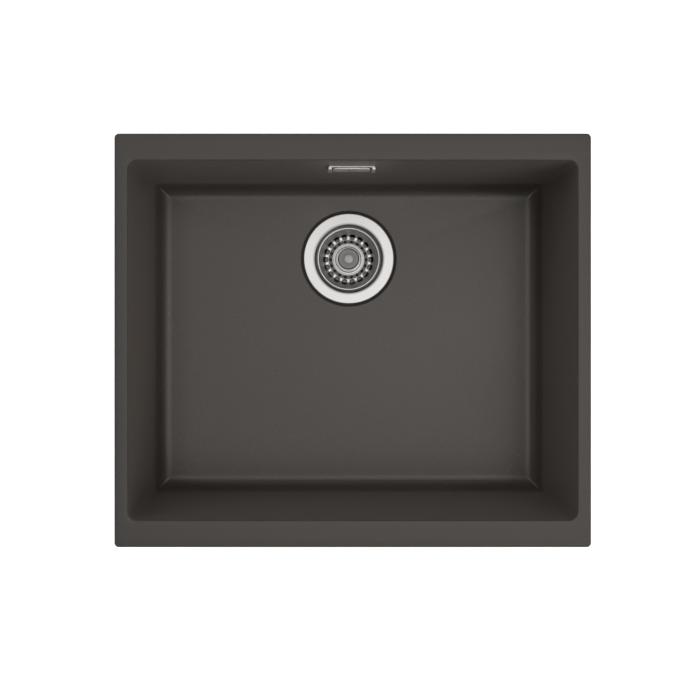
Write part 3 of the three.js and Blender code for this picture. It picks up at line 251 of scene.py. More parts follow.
def moved(piece, x=0.0, y=0.0, z=0.0, turn=0.0, axis="Z"):
    """Turns a piece by degrees about an axis through the origin, then shifts it by millimetres."""
    shift = Matrix.Translation((x * MM, y * MM, z * MM))
    piece.data.transform(shift @ Matrix.Rotation(math.radians(turn), 4, axis))
    return piece


def finish_piece(piece, material, body, slot, *nodes, sharp=38):
    """Gives a piece its material, its smooth shading and its place in the frame. Edges that bend by
    more than sharp degrees stay crisp."""
    mesh = piece.data
    mesh.materials.clear()
    mesh.materials.append(material)
    mesh.shade_smooth()
    mesh.set_sharp_from_angle(angle=math.radians(sharp))
    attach(piece, body)
    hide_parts(*nodes)
    return piece


def both_ways(operation):
    """An operator and its reflected form, for when the value stands on the right."""
    return (lambda self, other: self.math(operation, self, other),
            lambda self, other: self.math(operation, other, self))


class Socket:
    """A value in a material's nodes: arithmetic on it adds Math nodes."""

    def __init__(self, look, socket):
        self.look = look
        self.socket = socket

    def math(self, operation, *values):
        return self.look.node("ShaderNodeMath", {"operation": operation}, dict(enumerate(values)))

    def __abs__(self):
        return self.math("ABSOLUTE", self)

    __add__, __radd__ = both_ways("ADD")
    __sub__, __rsub__ = both_ways("SUBTRACT")
    __mul__, __rmul__ = both_ways("MULTIPLY")
    __truediv__, __rtruediv__ = both_ways("DIVIDE")
    __pow__, __rpow__ = both_ways("POWER")


class Look:
    """A node material: the principled shader's sockets are set by name, and node() adds the rest."""

    def __init__(self, name, **surface):
        self.material = bpy.data.materials.new(name)
        self.material.use_nodes = True
        self.tree = self.material.node_tree
        self.shader = self.tree.nodes["Principled BSDF"]
        self.set(**surface)

    def set(self, **surface):
        """Sets sockets of the shader, to a constant or to a value that varies."""
        for name, value in surface.items():
            self.feed(self.shader.inputs[name.replace("_", " ")], value)

    def feed(self, socket, value):
        """Links a value to a socket, or writes a constant on it."""
        if isinstance(value, Socket):
            self.tree.links.new(value.socket, socket)
        elif socket.type == "RGBA":
            socket.default_value = (*value, 1)
        else:
            socket.default_value = value

    def node(self, kind, settings=(), inputs=(), output=0):
        """Adds a node: its settings first, a ramp's stops among them, then its inputs."""
        made = self.tree.nodes.new(kind)
        for name, value in dict(settings).items():
            if name == "stops":
                ramp = made.color_ramp.elements
                while len(ramp) < len(value):
                    ramp.new(0.5)
                for stop, (position, tone) in zip(ramp, value):
                    stop.position = position
                    stop.color = (*tone, 1)
            else:
                setattr(made, name, value)
        for name, value in dict(inputs).items():
            self.feed(made.inputs[name], value)
        return Socket(self, made.outputs[output])

    def place(self):
        """Object coordinates, in metres."""
        return self.node("ShaderNodeTexCoord", output="Object")

    def parts(self, vector):
        """The x, y and z of a vector."""
        split = self.node("ShaderNodeSeparateXYZ", (), {0: vector}).socket.node
        return [Socket(self, part) for part in split.outputs]

    def noise(self, vector, scale, detail=2.0, rough=0.5):
        """Cloudy noise between 0 and 1, with scale cells to each unit of the vector."""
        inputs = {"Vector": vector, "Scale": scale, "Detail": detail, "Roughness": rough}
        return self.node("ShaderNodeTexNoise", (), inputs)

    def stretched(self, x, y, z):
        """Object coordinates multiplied along each axis, for grain that runs one way."""
        settings = {"operation": "MULTIPLY"}
        return self.node("ShaderNodeVectorMath", settings, {0: self.place(), 1: (x, y, z)})

    def between(self, factor, low, high):
        """A colour between two others, by a factor from 0 to 1."""
        settings = {"data_type": "RGBA"}
        return self.node("ShaderNodeMix", settings, {0: factor, 6: low, 7: high}, output=2)

    def step(self, value, low, high):
        """0 below low, 1 above high, smooth between."""
        settings = {"interpolation_type": "SMOOTHSTEP"}
        return self.node("ShaderNodeMapRange", settings, {0: value, 1: low, 2: high})

    def bump(self, height, distance, strength):
        """Tilts the surface's normal as a relief of this height, distance metres deep."""
        inputs = {"Height": height, "Distance": distance, "Strength": strength}
        self.set(Normal=self.node("ShaderNodeBump", (), inputs))


def composite_look():
    """Quartz composite: dark resin with fine grains and a broad faint mottle, under the sandy skin of
    the mould. It is duller the steeper a face stands, as |normal z| falls from 1 to 0. The rim's top
    is duller than the floor, and its colour is darkened there as painted shade."""
    look = Look("quartz_composite", IOR=1.5, Specular_Tint=(1, 0.95, 0.9),
                Sheen_Weight=0.14, Sheen_Roughness=0.6, Sheen_Tint=(1, 0.86, 0.76))
    place = look.place()
    mottle = look.noise(place, 14, 4, 0.6)
    grain = look.noise(place, 900, 3, 0.7)
    skin = look.noise(place, 1500, 2, 0.6)
    chips = look.node("ShaderNodeTexVoronoi", (), {"Vector": place, "Scale": 1000}, output="Color")
    pale = look.step(look.node("ShaderNodeSeparateColor", (), {0: chips}), 0.86, 0.99)
    level = abs(look.parts(look.node("ShaderNodeTexCoord", output="Normal"))[2])
    rim_top_shade_and_dull = look.step(look.parts(place)[2], -0.0014, -0.0004)
    tone = look.between(look.step(mottle, 0.3, 0.7), (0.041, 0.0327, 0.0273), (0.046, 0.0377, 0.0318))
    tone = look.between(look.step(grain, 0.35, 0.75), tone, (0.052, 0.0437, 0.0368))
    tone = look.between(0.5 * pale, tone, (0.078, 0.071, 0.065))
    # Painted shade: the rim's top, within 1.4 mm of z = 0, is darkened towards (0.012, 0.011, 0.0105).
    tone = look.between(0.4 * rim_top_shade_and_dull, tone, (0.012, 0.011, 0.0105))
    look.set(Base_Color=tone, Roughness=0.42 - 0.19 * level + 0.08 * mottle + 0.1 * rim_top_shade_and_dull)
    look.bump(skin + 0.5 * grain, 0.00002, 0.15)
    return look.material


def circle(radius, z, angle):
    """Points round the waste's axis at the given angles: x = r cos a, y = WASTE_Y + r sin a."""
    return np.stack([radius * np.cos(angle), WASTE_Y + radius * np.sin(angle), z + 0 * angle], -1)


def bowl_shell():
    """The casting as one closed surface: rings run from the rim's outer edge over the top, down the
    walls, across the floor to the waste's seat, back under the floor and up the outside. At height z
    the lean brings a wall in by -z times its tangent."""

    def rim_ring(inset, z):
        """The rim's outer outline, brought in by inset."""
        return at_height(rectangle(RIM_X - inset, RIM_Y - inset, RIM_CORNER - inset), z)

    def wall_ring(out, z):
        """The opening's outline, grown by out."""
        corner = max(OPENING_CORNER + out, LEAST_CORNER)
        return at_height(rectangle(OPENING_X + out, OPENING_Y + out, corner), z)

    quarter = np.linspace(0, np.pi / 2, 7)
    bend = np.linspace(0, np.pi / 2, 17)
    rings = [rim_ring(EDGE * (1 - np.cos(a)), EDGE * (np.sin(a) - 1)) for a in quarter]
    for share in (0.33, 0.67):
        half_x = RIM_X - EDGE + share * (OPENING_X - RIM_X + 2 * EDGE)
        half_y = RIM_Y - EDGE + share * (OPENING_Y - RIM_Y + 2 * EDGE)
        corner = RIM_CORNER + share * (OPENING_CORNER - RIM_CORNER)
        rings.append(at_height(rectangle(half_x, half_y, corner), 0))
    rings += [wall_ring(EDGE * (1 - np.sin(a)), EDGE * (np.cos(a) - 1)) for a in quarter]
    rings += [wall_ring(z * LEAN, z) for z in np.linspace(-EDGE - 6, FILLET - DEPTH, 20)]
    fillet_top = FILLET - DEPTH
    rings += [wall_ring(fillet_top * LEAN - FILLET * (1 - np.cos(a)), fillet_top - FILLET * np.sin(a))
              for a in bend[1:]]

    foot = rings[-1]
    angle = np.arctan2(foot[:, 1] - WASTE_Y, foot[:, 0])
    floor_z, under_z = -DEPTH - FALL, -DEPTH - FLOOR
    lip = circle(62.2, floor_z, angle)
    rings += [foot + share * (lip - foot) for share in np.linspace(0, 1, 25)[1:]]
    seat = rounded([(64, floor_z), (61.3, floor_z, 1.1), (58.5, SEAT_Z + 0.1, 0.6), (SEAT_HOLE, SEAT_Z, 0.5),
                    (SEAT_HOLE, UNDERSIDE_Z, 0.6), (67, UNDERSIDE_Z, 1.2), (67, under_z, 1.5),
                    (70, under_z)], closed=False)[1:-1]
    rings += [circle(radius, z, angle) for radius, z in finer(seat, 4, closed=False)]

    outer_fillet = FILLET + WALL
    outer_top = outer_fillet + under_z
    outer = [wall_ring(WALL + outer_top * LEAN - outer_fillet * (1 - np.cos(a)),
                       outer_top - outer_fillet * np.sin(a)) for a in bend[::-1]]
    last = rings[-1]
    rings += [last + share * (outer[0] - last) for share in np.linspace(0, 1, 21)[1:-1]]
    rings += outer
    crook = 3  # rounding between the outside of a wall and the rim's underside
    crook_z = RIM_UNDER - crook
    rings += [wall_ring(WALL + z * LEAN, z) for z in np.linspace(outer_top + 8, crook_z, 16)]
    rings += [wall_ring(WALL + crook * (1 - np.cos(a)) + crook_z * LEAN, crook_z + crook * np.sin(a))
              for a in quarter[1:]]
    rings += [rim_ring(UNDER_EDGE * (1 - np.cos(a)), RIM_UNDER + UNDER_EDGE * (1 - np.sin(a)))
              for a in quarter[::-1]]
    return closed_shape("composite_bowl", np.stack(rings))


def at_bosses(name, corners, facets):
    """The same turned shape at each of the eight bosses."""
    return [moved(closed_shape(name, lathe(corners, facets)), x, y) for x, y in BOSS_PLACES]


def gusset(x, side):
    """A triangular web between wall and rim, on the rear (side 1) or the front (side -1)."""
    outline = rounded([(204, -11), (204, -44), (206.9, -44, 1), (227, RIM_UNDER - 1.5, 1), (227, -11)])
    return moved(prism("gusset", outline * [side, 1], -3, 3, 0.9, axis="x"), x)


OVERFLOW_WINDOW = rectangle(22.5, 7.5, 2, 6, 1, 1)
bowl = bowl_shell()
pad = prism("pad", rectangle(36.5, 19.5, 10, 6, 1, 1), 204, 209, 0.7, axis="y")
combine(bowl, at_bosses("boss", [(0, -22), (7, -22, 0.8), (7, -5), (0, -5)], 48))
combine(bowl, [gusset(x, side) for x in (-230, -135, 135, 230) for side in (-1, 1)])
combine(bowl, [moved(pad, z=OVERFLOW_Z)])
slot = moved(prism("slot", OVERFLOW_WINDOW, 190, 216, axis="y"), z=OVERFLOW_Z)
pockets = at_bosses("pocket", [(0, -24), (4.3, -24), (4.3, -11.7), (0, -11.7)], 36)
combine(bowl, [slot, *pockets], "DIFFERENCE")
finish_piece(bowl, composite_look(), "sink", "composite", "sink_bowl", sharp=28)

# ---- Rim inserts --------------------------------------------------------------------------
# Eight turned brass inserts with an M6 thread, moulded into the bosses under the front and rear
# rims; the screws of the worktop clamps go into them.


def threaded(points, radius, low, high, pitch, depth):
    """Cuts a V thread into the points at a radius: moves them inwards by depth |2 f - 1|, where f is
    the fraction of height / pitch - angle / 360; the thread fades out over half a turn at its ends.
    A negative depth cuts an inside thread."""
    x, y, z = points[..., 0], points[..., 1], points[..., 2]
    away = np.hypot(x, y)
    wave = np.abs(2 * np.mod(z / pitch - np.arctan2(y, x) / (2 * np.pi), 1) - 1)
    fade = np.clip(np.minimum(z - low, high - z) / (0.5 * pitch), 0, 1)
    scale = np.where(np.abs(away - radius) < 1e-3, 1 - depth * wave * fade / np.maximum(away, 1e-9), 1)
    return np.stack([x * scale, y * scale, z], -1)


def brass_look():
    """Turned brass, darkened a little by handling: fine rings from the tool round the axis."""
    look = Look("turned_brass", Metallic=1.0)
    stain = look.noise(look.place(), 60, 3)
    turning = look.noise(look.stretched(40, 40, 2400), 1, 2)
    tone = look.between(stain, (0.5, 0.34, 0.13), (0.68, 0.47, 0.2))
    look.set(Base_Color=tone, Roughness=0.26 + 0.12 * stain)
    look.bump(turning, 0.00002, 0.4)
    return look.material


brass = brass_look()
insert_grid = lathe([(2.6, 0, 0.4), (4, 0, 0.3), (4, 10, 0.3), (2.6, 10, 0.4)], 40, 0.22)
insert_grid = threaded(insert_grid, 2.6, 0.5, 9.6, 1.0, -0.3)
inserts = closed_shape("rim_inserts", *[insert_grid + [x, y, -22] for x, y in BOSS_PLACES])
finish_piece(inserts, brass, "sink", "brass", *[f"rim_insert_{i}" for i in range(1, 9)])

# ---- Waste flange and gaskets -------------------------------------------------------------
# One pressing in stainless steel: a wide satin flange, a cup with a ledge for the basket, and four
# kidney slots in its bottom. A foam ring seals it to the seat, a rubber ring the body below.

WASTE = {"y": WASTE_Y, "z": -202.3}  # middle of the flange's top face


def sheet(corners, thickness, step, steps=6):
    """Outline of a pressed sheet: the path round its first face, then the same path moved to its left
    by the thickness, and rounded edges. At a bend the shift follows the mean of the two sides'
    normals, longer by 1 / cos(half the bend), so that the wall keeps its thickness."""
    path = finer(rounded(corners, closed=False, steps=steps), step, closed=False)
    along = np.diff(path, axis=0)
    along = along / np.linalg.norm(along, axis=1, keepdims=True)
    left = np.stack([-along[:, 1], along[:, 0]], -1)
    before = np.concatenate([left[:1], left])
    after = np.concatenate([left, left[-1:]])
    middle = before + after
    middle = middle / np.linalg.norm(middle, axis=1, keepdims=True)
    other = path + middle * thickness / (middle * after).sum(1, keepdims=True)
    edge = np.linspace(0, np.pi, 5)[1:-1, None]

    def cap(start, end, outwards):
        centre, spoke = (start + end) / 2, (start - end) / 2
        return centre + spoke * np.cos(edge) + outwards * thickness * 0.3 * np.sin(edge)

    return np.concatenate([path, cap(path[-1], other[-1], along[-1]), other[::-1],
                           cap(other[0], path[0], -along[0])])


def kidney(inner, outer, web, angle, low, high):
    """A slot between two circles whose straight ends leave a web of even width beside it: at radius r
    the web takes asin(web / 2 / r) off each end of the quarter."""
    middle = np.radians(angle)
    outer_half = np.pi / 4 - np.arcsin(web / 2 / outer)
    inner_half = np.pi / 4 - np.arcsin(web / 2 / inner)
    a = middle + np.linspace(-outer_half, outer_half, 19)
    b = middle + np.linspace(inner_half, -inner_half, 11)
    out = np.stack([outer * np.cos(a), outer * np.sin(a)], -1)
    back = np.stack([inner * np.cos(b), inner * np.sin(b)], -1)
    return prism("kidney", np.concatenate([out, back]), low, high)


def turned_steel(name, painted_bands, rough, lines, depth):
    """Steel turned on a lathe, with fine rings round the waste's axis. Its brightness is painted in
    bands of (radius in millimetres, brightness) round that axis, as painted highlights and painted
    shade. Deep in the waste its colour is darkened as painted shade."""
    look = Look(name, Metallic=1.0)
    reach = 60  # millimetres from the axis to the end of the bands' scale
    x, y, height = look.parts(look.place())
    across = y - WASTE_Y * MM
    away = (x * x + across * across) ** 0.5
    settings, inputs = {"noise_dimensions": "1D"}, {"W": away, "Scale": lines, "Detail": 3.0}
    ring = look.node("ShaderNodeTexNoise", settings, inputs)
    smear = look.noise(look.place(), 45, 3)
    # Painted highlights and painted shade: the colour's brightness is set by the distance from the waste's
    # axis.
    stops = [(radius / reach, (tone, 0.985 * tone, 0.965 * tone)) for radius, tone in painted_bands]
    painted_band_tone = look.node("ShaderNodeValToRGB", {"stops": stops}, {0: away / (reach * MM)})
    # Painted shade: below z = -0.2335 m the colour falls to the dark (0.13, 0.126, 0.118).
    light = look.step(height, -0.2335, -0.2295) * (0.9 + 0.1 * ring) * (0.93 + 0.07 * smear)
    tone = look.between(light, (0.13, 0.126, 0.118), painted_band_tone)
    look.set(Base_Color=tone, Roughness=rough + 0.08 * (smear - 0.5))
    look.bump(ring, depth, 0.5)
    return look.material


flange_outline = sheet([(57.5, -0.3), (56.9, 0, 0.4), (41.2, 0, 4), (41.2, -9.5, 0.4), (39.6, -9.5, 0.4),
                        (39.6, -24, 3), (31, -37.5, 3), (4.8, -37.5)], 1.2, 1.6)
flange = closed_shape("waste_flange_pressing", turned(flange_outline, 160))
combine(flange, [kidney(9.5, 21.2, 5, angle, -41, -36) for angle in (0, 90, 180, 270)], "DIFFERENCE")
# Painted reflection: the dark band between 41 and 46.5 mm stands for the dark bowl mirrored on the rolled
# edge into the cup.
flange_steel = turned_steel("flange_steel_painted_light", [
    (41, 0.6), (43, 0.27), (45, 0.36), (46.5, 0.575), (48, 0.575)], 0.34, 2600, 0.000004)
finish_piece(moved(flange, **WASTE), flange_steel, "sink", "flange_steel", "waste_flange", sharp=50)


def soft_look(name, tone, rough, pores):
    """Black rubber or foam: even and dull, with faint dust and a fine skin."""
    look = Look(name, IOR=1.45)
    dust = look.noise(look.place(), 70, 4)
    skin = look.noise(look.place(), pores, 2)
    dusty = tuple(1.9 * c for c in tone)
    look.set(Base_Color=look.between(dust, tone, dusty), Roughness=rough + 0.1 * dust)
    look.bump(skin, 0.00006, 0.5)
    return look.material


def at_waste(name, grid, *place, sharp=38):
    """A finished closed shape on the waste's axis; place is the rest of what finish_piece takes."""
    return finish_piece(moved(closed_shape(name, grid), **WASTE), *place, sharp=sharp)


rubber = soft_look("black_rubber", (0.012, 0.012, 0.013), 0.55, 2600)
foam = soft_look("black_foam", (0.02, 0.02, 0.021), 0.85, 1500)
at_waste("flange_foam", lathe([
    (SEAT_HOLE, -3, 0.3), (56, -3, 0.3), (56, -1.5, 0.3), (SEAT_HOLE, -1.5, 0.3)], 128, 2),
    foam, "sink", "foam", "flange_gasket")
at_waste("body_rubber", lathe([
    (SEAT_HOLE, -17, 0.6), (50, -17, 0.2), (50.5, -16.8, 0.2), (51, -17, 0.2), (56, -17, 0.6),
    (56, -14, 0.6), (51, -14, 0.2), (50.5, -14.2, 0.2), (50, -14, 0.2), (SEAT_HOLE, -14, 0.6)], 128),
    rubber, "sink", "rubber", "body_gasket")

# ---- Waste body ---------------------------------------------------------------------------
# Moulded in pale polypropylene: a chamber with a flange and ribs, an inlet for the overflow, a
# cross that holds the brass nut, and a funnel with a threaded outlet for the trap. A slotted steel
# screw through the flange's cup draws the body up against the bowl.

INLET = {"z": -52, "turn": -90, "axis": "X"}  # its axis, out of the chamber towards the rear


def moulded_look(name, tone, rough, glow):
    """A moulded plastic: satin, slightly uneven in tone, with the fine texture of the tool."""
    look = Look(name, IOR=1.49, Subsurface_Weight=glow, Subsurface_Scale=0.001)
    cloud = look.noise(look.place(), 25, 3)
    grain = look.noise(look.place(), 1800, 2)
    darker = tuple(0.93 * c for c in tone)
    look.set(Base_Color=look.between(cloud, darker, tone), Roughness=rough + 0.08 * cloud)
    look.bump(grain, 0.00002, 0.35)
    return look.material


def disc(radius, count):
    """The outline of a circle: x = r cos a, y = r sin a."""
    return turned(np.array([[radius, 0]]), count)[0][:, :2]


def spigot(radius, bore, near, far, pitch=1.8):
    """A threaded tube along Z from near to far, its free end at far. The thread leaves 3.5 mm plain at
    the near end and 0.4 mm at the far one."""
    inwards = 1 if far > near else -1
    grid = lathe([(bore, near), (radius, near), (radius, far, 0.8), (bore, far, 0.5)], 72, pitch / 8)
    low, high = sorted((near + 3.5 * inwards, far - 0.4 * inwards))
    return closed_shape("spigot", threaded(grid, radius, low, high, pitch, 0.7))


plastic = moulded_look("pale_polypropylene", (0.64, 0.63, 0.595), 0.42, 0.08)
chamber = closed_shape("waste_chamber", lathe([
    (45, -17.3, 0.3), (45, -64, 0.3), (48, -64, 0.6), (48, -21.3, 1.2), (56, -21.3, 0.8),
    (56, -17.3, 0.3)], 144, 3))
rib_outline = rounded([(46, -18.5), (46, -35.3), (48.3, -35.3, 0.8), (55.2, -21.3, 1), (55.2, -18.5)])
ribs = [moved(prism("rib", rib_outline, -1.5, 1.5, 0.5, axis="y"), turn=22.5 + 45 * i) for i in range(8)]
combine(chamber, ribs + [moved(spigot(11, 6, 46, 62), **INLET)])
seats = [moved(prism("seat", [(40, -1.8), (46.2, -1.8), (46.2, 1.8), (40, 1.8)], -66, -45.7), turn=turn)
         for turn in (45, 135, 225, 315)]
combine(chamber, [moved(prism("bore", disc(7.5, 48), 40, 64), **INLET), *seats], "DIFFERENCE")
finish_piece(moved(chamber, **WASTE), plastic, "sink", "body_plastic", "waste_body", sharp=35)

cross = closed_shape("hub_cross_moulding", lathe([
    (4, -59.8, 0.4), (9.3, -59.8, 0.6), (9.3, -46, 0.6), (4, -46, 0.4)], 72, 3))
web_outline = [(5, -59.8), (45.9, -59.8), (45.9, -46), (5, -46)]
webs = [moved(prism("web", web_outline, -1.5, 1.5, 0.45, axis="y"), turn=turn)
        for turn in (45, 135, 225, 315)]
combine(cross, webs)
combine(cross, [prism("bore", disc(6.7, 64), -62, -44)], "DIFFERENCE")
finish_piece(moved(cross, **WASTE), plastic, "sink", "body_plastic", "hub_cross", sharp=35)

cone_grid = lathe([
    (41.7, -60.1, 0.4), (41.7, -64, 3), (20, -71.8, 4), (20, -97.8, 0.5), (23.9, -97.8, 0.9),
    (23.9, -74, 2), (44.7, -66.8, 2), (48, -66.8, 0.7), (48, -64.3, 0.5), (44.7, -64.3, 0.2),
    (44.7, -60.1, 0.4)], 96, 0.35)
cone_grid = threaded(cone_grid, 23.9, -97.4, -76.5, 2.309, 1.2)  # 11 turns to the inch
at_waste("outlet_funnel", cone_grid, plastic, "sink", "body_plastic", "outlet_cone", sharp=35)

nut_grid = lathe([(4.8, -59.8, 0.3), (6.4, -59.8, 0.3), (6.4, -46, 0.3), (4.8, -46, 0.3)], 64, 0.25)
nut_grid = threaded(nut_grid, 4.8, -59.5, -46.3, 1.25, -0.35)
at_waste("hub_insert", nut_grid, brass, "sink", "brass", "hub_nut")

# Painted shade and painted highlight: darker within 5.3 mm of the axis, brighter out to 8 mm, and darkened
# deep in the waste.
plain_steel = turned_steel("brushed_steel_turned", [(3, 0.23), (5.3, 0.21), (5.8, 0.37), (8, 0.5)],
                           0.28, 1900, 0.000006)
screw_grid = lathe([
    (0, -59.8), (4.5, -59.8, 0.6), (4.5, -37.2, 0.2), (7.5, -37.2, 0.3), (7.5, -34.2, 0.9),
    (3.4, -34.2, 0.4), (3.4, -44, 0.3), (0, -44)], 64, 0.25)
centre_screw = closed_shape("clamping_screw", threaded(screw_grid, 4.5, -59.4, -43, 1.25, 0.4))
combine(centre_screw, [prism("slot", [(-9, -0.8), (9, -0.8), (9, 0.8), (-9, 0.8)], -35.8, -33)], "DIFFERENCE")
finish_piece(moved(centre_screw, **WASTE), plain_steel, "sink", "brushed_steel", "centre_screw")

# ---- Basket -------------------------------------------------------------------------------
# A pressed stainless basket with a rolled rim: eighteen slots across the bend of its foot, and
# eighteen round holes in its floor just outside the knob's base. A spindle through its middle
# carries the knob above it and, below it, the rubber bell that closes the waste.

SLOTS, CELLS = 18, 8  # slots round the basket, and cells of its sheet round each slot


def punched_sheet(name, path, facets, open_cells, thickness):
    """Turns a path about Z, leaves out the cells that open_cells marks (row, column), then gives the
    sheet its thickness below the path and rounds the edges of its holes by subdivision."""
    points = turned(path, facets, lead=0.5)
    quads = grid_faces(len(path), facets, False, True)[~open_cells.ravel()]
    used, quads = np.unique(quads, return_inverse=True)
    mesh = bpy.data.meshes.new(name)
    mesh.from_pydata((points.reshape(-1, 3)[used] * MM).tolist(), [], quads.reshape(-1, 4).tolist())
    piece = add_object(name, mesh)
    body = piece.modifiers.new("thickness", "SOLIDIFY")
    body.thickness = thickness * MM
    body.offset = -1
    body.use_even_offset = True
    smooth = piece.modifiers.new("rounding", "SUBSURF")
    smooth.levels = smooth.render_levels = 1
    return settle(piece)


def basket_cells(path, facets):
    """Marks slots and holes: each is a block of cells without its four corners."""
    radius = (path[1:, 0] + path[:-1, 0]) / 2
    height = (path[1:, 1] + path[:-1, 1]) / 2
    column = (np.arange(facets) + 5) % CELLS - 4  # 0 in the middle of a slot
    marked = np.zeros((len(radius), facets), bool)
    for inner, outer, reach in ((26.1, 32.3, 2), (21.4, 24.8, 1)):
        rows = np.flatnonzero((radius > inner) & (radius < outer) & (height < -20))
        for row in rows:
            end = row in (rows[0], rows[-1])
            marked[row] = np.abs(column) <= reach - end
    return marked


basket_path = rounded([
    (40.7, -9.2), (40.7, -6.9, 1.3), (38.3, -6.9, 1.0), (32.3, -22.17), (30.6, -26.5, 3.5), (26.1, -26.5),
    (24.8, -26.5), (21.4, -26.5), (3.1, -26.5)], closed=False, steps=4)
basket_path = finer(basket_path, 0.95, closed=False)
open_cells = basket_cells(basket_path, SLOTS * CELLS)
basket = punched_sheet("basket_pressing", basket_path, SLOTS * CELLS, open_cells, 0.9)
# Painted shade and painted highlight: the basket's floor inside 25 mm is dark, and the bend and wall from
# 26.5 to 38.6 mm are bright.
basket_steel = turned_steel("basket_steel_painted_light", [
    (25, 0.09), (26.5, 0.65), (28.5, 0.95), (33, 1), (36.5, 0.95), (37.8, 0.7), (38.6, 0.7)],
    0.42, 1500, 0.000005)
finish_piece(moved(basket, **WASTE), basket_steel, "basket", "basket_steel", "basket_cup", sharp=60)

# The knob stands on a ringed, pressed disc; a button closes its top.
# Painted shade and painted highlight: the knob's dish inside 12.4 mm is dark, and its rings from 13.2 to 18
# mm are bright.
knob_steel = turned_steel("knob_steel_painted_light", [
    (8, 0.11), (12.4, 0.13), (13.2, 0.55), (15.4, 0.6), (18, 0.45)], 0.28, 1700, 0.000006)
disc_outline = sheet([
    (21, -26.2), (21, -23.4, 0.7), (19.5, -23.4, 0.3), (19.2, -23.8, 0.15), (18.9, -23.4, 0.3),
    (17.2, -23.4, 0.4), (16.9, -23.0, 0.2), (15.9, -20.6, 0.6), (3.1, -20.6)], 0.7, 1.4, steps=5)
at_waste("knob_disc", turned(disc_outline, 128), knob_steel, "basket", "flange_steel", "knob_base", sharp=60)
at_waste("knob_turning", lathe([
    (3.1, -20.3), (8.2, -20.3, 0.5), (7.2, -14, 3), (15, -10.7, 1.4), (15, -9.6, 0.2), (14.75, -9.4, 0.15),
    (15, -9.2, 0.2), (15, -7.7, 0.6), (14, -7.7, 0.3), (12.5, -9.2, 0.8), (2.8, -9.2), (2.8, -12.2),
    (0, -12.2), (0, -13.9), (3.1, -13.9)], 128, 1.5),
    knob_steel, "basket", "flange_steel", "basket_knob", sharp=50)
at_waste("knob_button", lathe([
    (0, -11.4), (2.5, -11.4, 0.3), (2.5, -8.9), (5.9, -8.9, 0.2), (5.9, -7.95, 0.5), (3, -7.72, 3),
    (0, -7.7)], 96, 0.8), plain_steel, "basket", "brushed_steel", "knob_cap", sharp=50)

# The spindle, the washer that backs the bell, the bell, its nut, and the ring that snaps into the screw.
at_waste("basket_spindle", lathe([
    (0, -43), (2.8, -43, 1), (2.8, -40, 0.1), (2.1, -40), (2.1, -38.6), (2.8, -38.6, 0.1),
    (2.8, -14.2, 0.3), (0, -14.2)], 64, 1), plain_steel, "basket", "brushed_steel", "basket_stem")
at_waste("seal_washer", lathe([
    (3.1, -28.7, 0.2), (19, -28.7, 0.45), (19, -27.7, 0.45), (3.1, -27.7, 0.2)], 96, 2),
    plain_steel, "basket", "brushed_steel", "seal_holder")
at_waste("seal_bell", lathe([
    (3.1, -29, 0.2), (3.1, -30.8, 0.2), (17.5, -30.8, 1.2), (21.5, -37.2, 0.4), (26.5, -37.2, 0.7),
    (25.6, -34.6, 0.6), (25.3, -33.2, 0.6), (24, -29, 2)], 128, 1.6),
    rubber, "basket", "rubber", "basket_seal")


def hexagon_nut(corner, bore, low, high, chamfer):
    """A hexagon nut: each ring is the smaller of the hexagon, r = corner cos 30 / cos(a from the
    middle of a side), and a circle that shrinks at both ends. Its bore has a thread."""
    angle = np.linspace(0, 2 * np.pi, 96, endpoint=False)
    flat = corner * np.cos(np.pi / 6) / np.cos(np.mod(angle, np.pi / 3) - np.pi / 6)
    outside = [(low, corner - chamfer), (low + chamfer * 0.5, corner),
               (high - chamfer * 0.5, corner), (high, corner - chamfer)]
    bore_end = 0.35
    inside = finer(np.array([[bore + bore_end, high], [bore, high - bore_end], [bore, low + bore_end],
                             [bore + bore_end, low]]), 0.1, closed=False)
    rings = [(np.minimum(flat, limit), z) for z, limit in outside] + [*inside]
    grid = [np.stack([r * np.cos(angle), r * np.sin(angle), z + 0 * angle], -1) for r, z in rings]
    return threaded(np.stack(grid), bore, low + bore_end, high - bore_end, 0.8, -0.15)


at_waste("spindle_nut", hexagon_nut(5.5, 3.1, -33.6, -31.1, 0.5),
         brass, "basket", "brass", "stem_nut", sharp=25)
catch = closed_shape("spring_catch", lathe([
    (2.4, -39.7, 0.2), (3.1, -39.7, 0.3), (3.1, -38.9, 0.3), (2.4, -38.9, 0.2)], 64))
combine(catch, [prism("gap", [(1, -0.5), (5, -0.5), (5, 0.5), (1, 0.5)], -41, -37)], "DIFFERENCE")
finish_piece(moved(catch, **WASTE), plain_steel, "basket", "basket_steel", "catch_ring")

# ---- Overflow -----------------------------------------------------------------------------
# A stainless frame with two end cheeks lies on the rear wall. A bowed cover plate stands off it on
# nibs, so that water passes behind; one screw clamps the plate to a nut in the box behind the wall.

WALL_FACE = {"y": 198.456, "z": OVERFLOW_Z, "turn": 88.5, "axis": "X"}  # the wall leans 1.5 degrees
SCREW_AXIS = {"z": OVERFLOW_Z, "turn": -90, "axis": "X"}  # along Y, through plate, nut and box
NUT_Y = 213.6  # the nut's near end


def satin_steel(name, tone, rough):
    """Steel brushed along X: fine grain that runs left to right, and faint cloudy marks."""
    look = Look(name, Metallic=1.0)
    grain = look.noise(look.stretched(60, 2600, 2600), 1, 3)
    cloud = look.noise(look.place(), 55, 3)
    darker = tuple(0.86 * c for c in tone)
    look.set(Base_Color=look.between(0.6 * grain + 0.4 * cloud, darker, tone))
    look.set(Roughness=rough + 0.1 * (grain - 0.5))
    look.bump(grain, 0.000006, 0.5)
    return look.material


def plate_back(x):
    """Height of the cover plate's back above the wall: 3 - 0.7 (1 - (x / 21)^2)."""
    return 3.0 - 0.7 * (1 - (x / 21) ** 2)


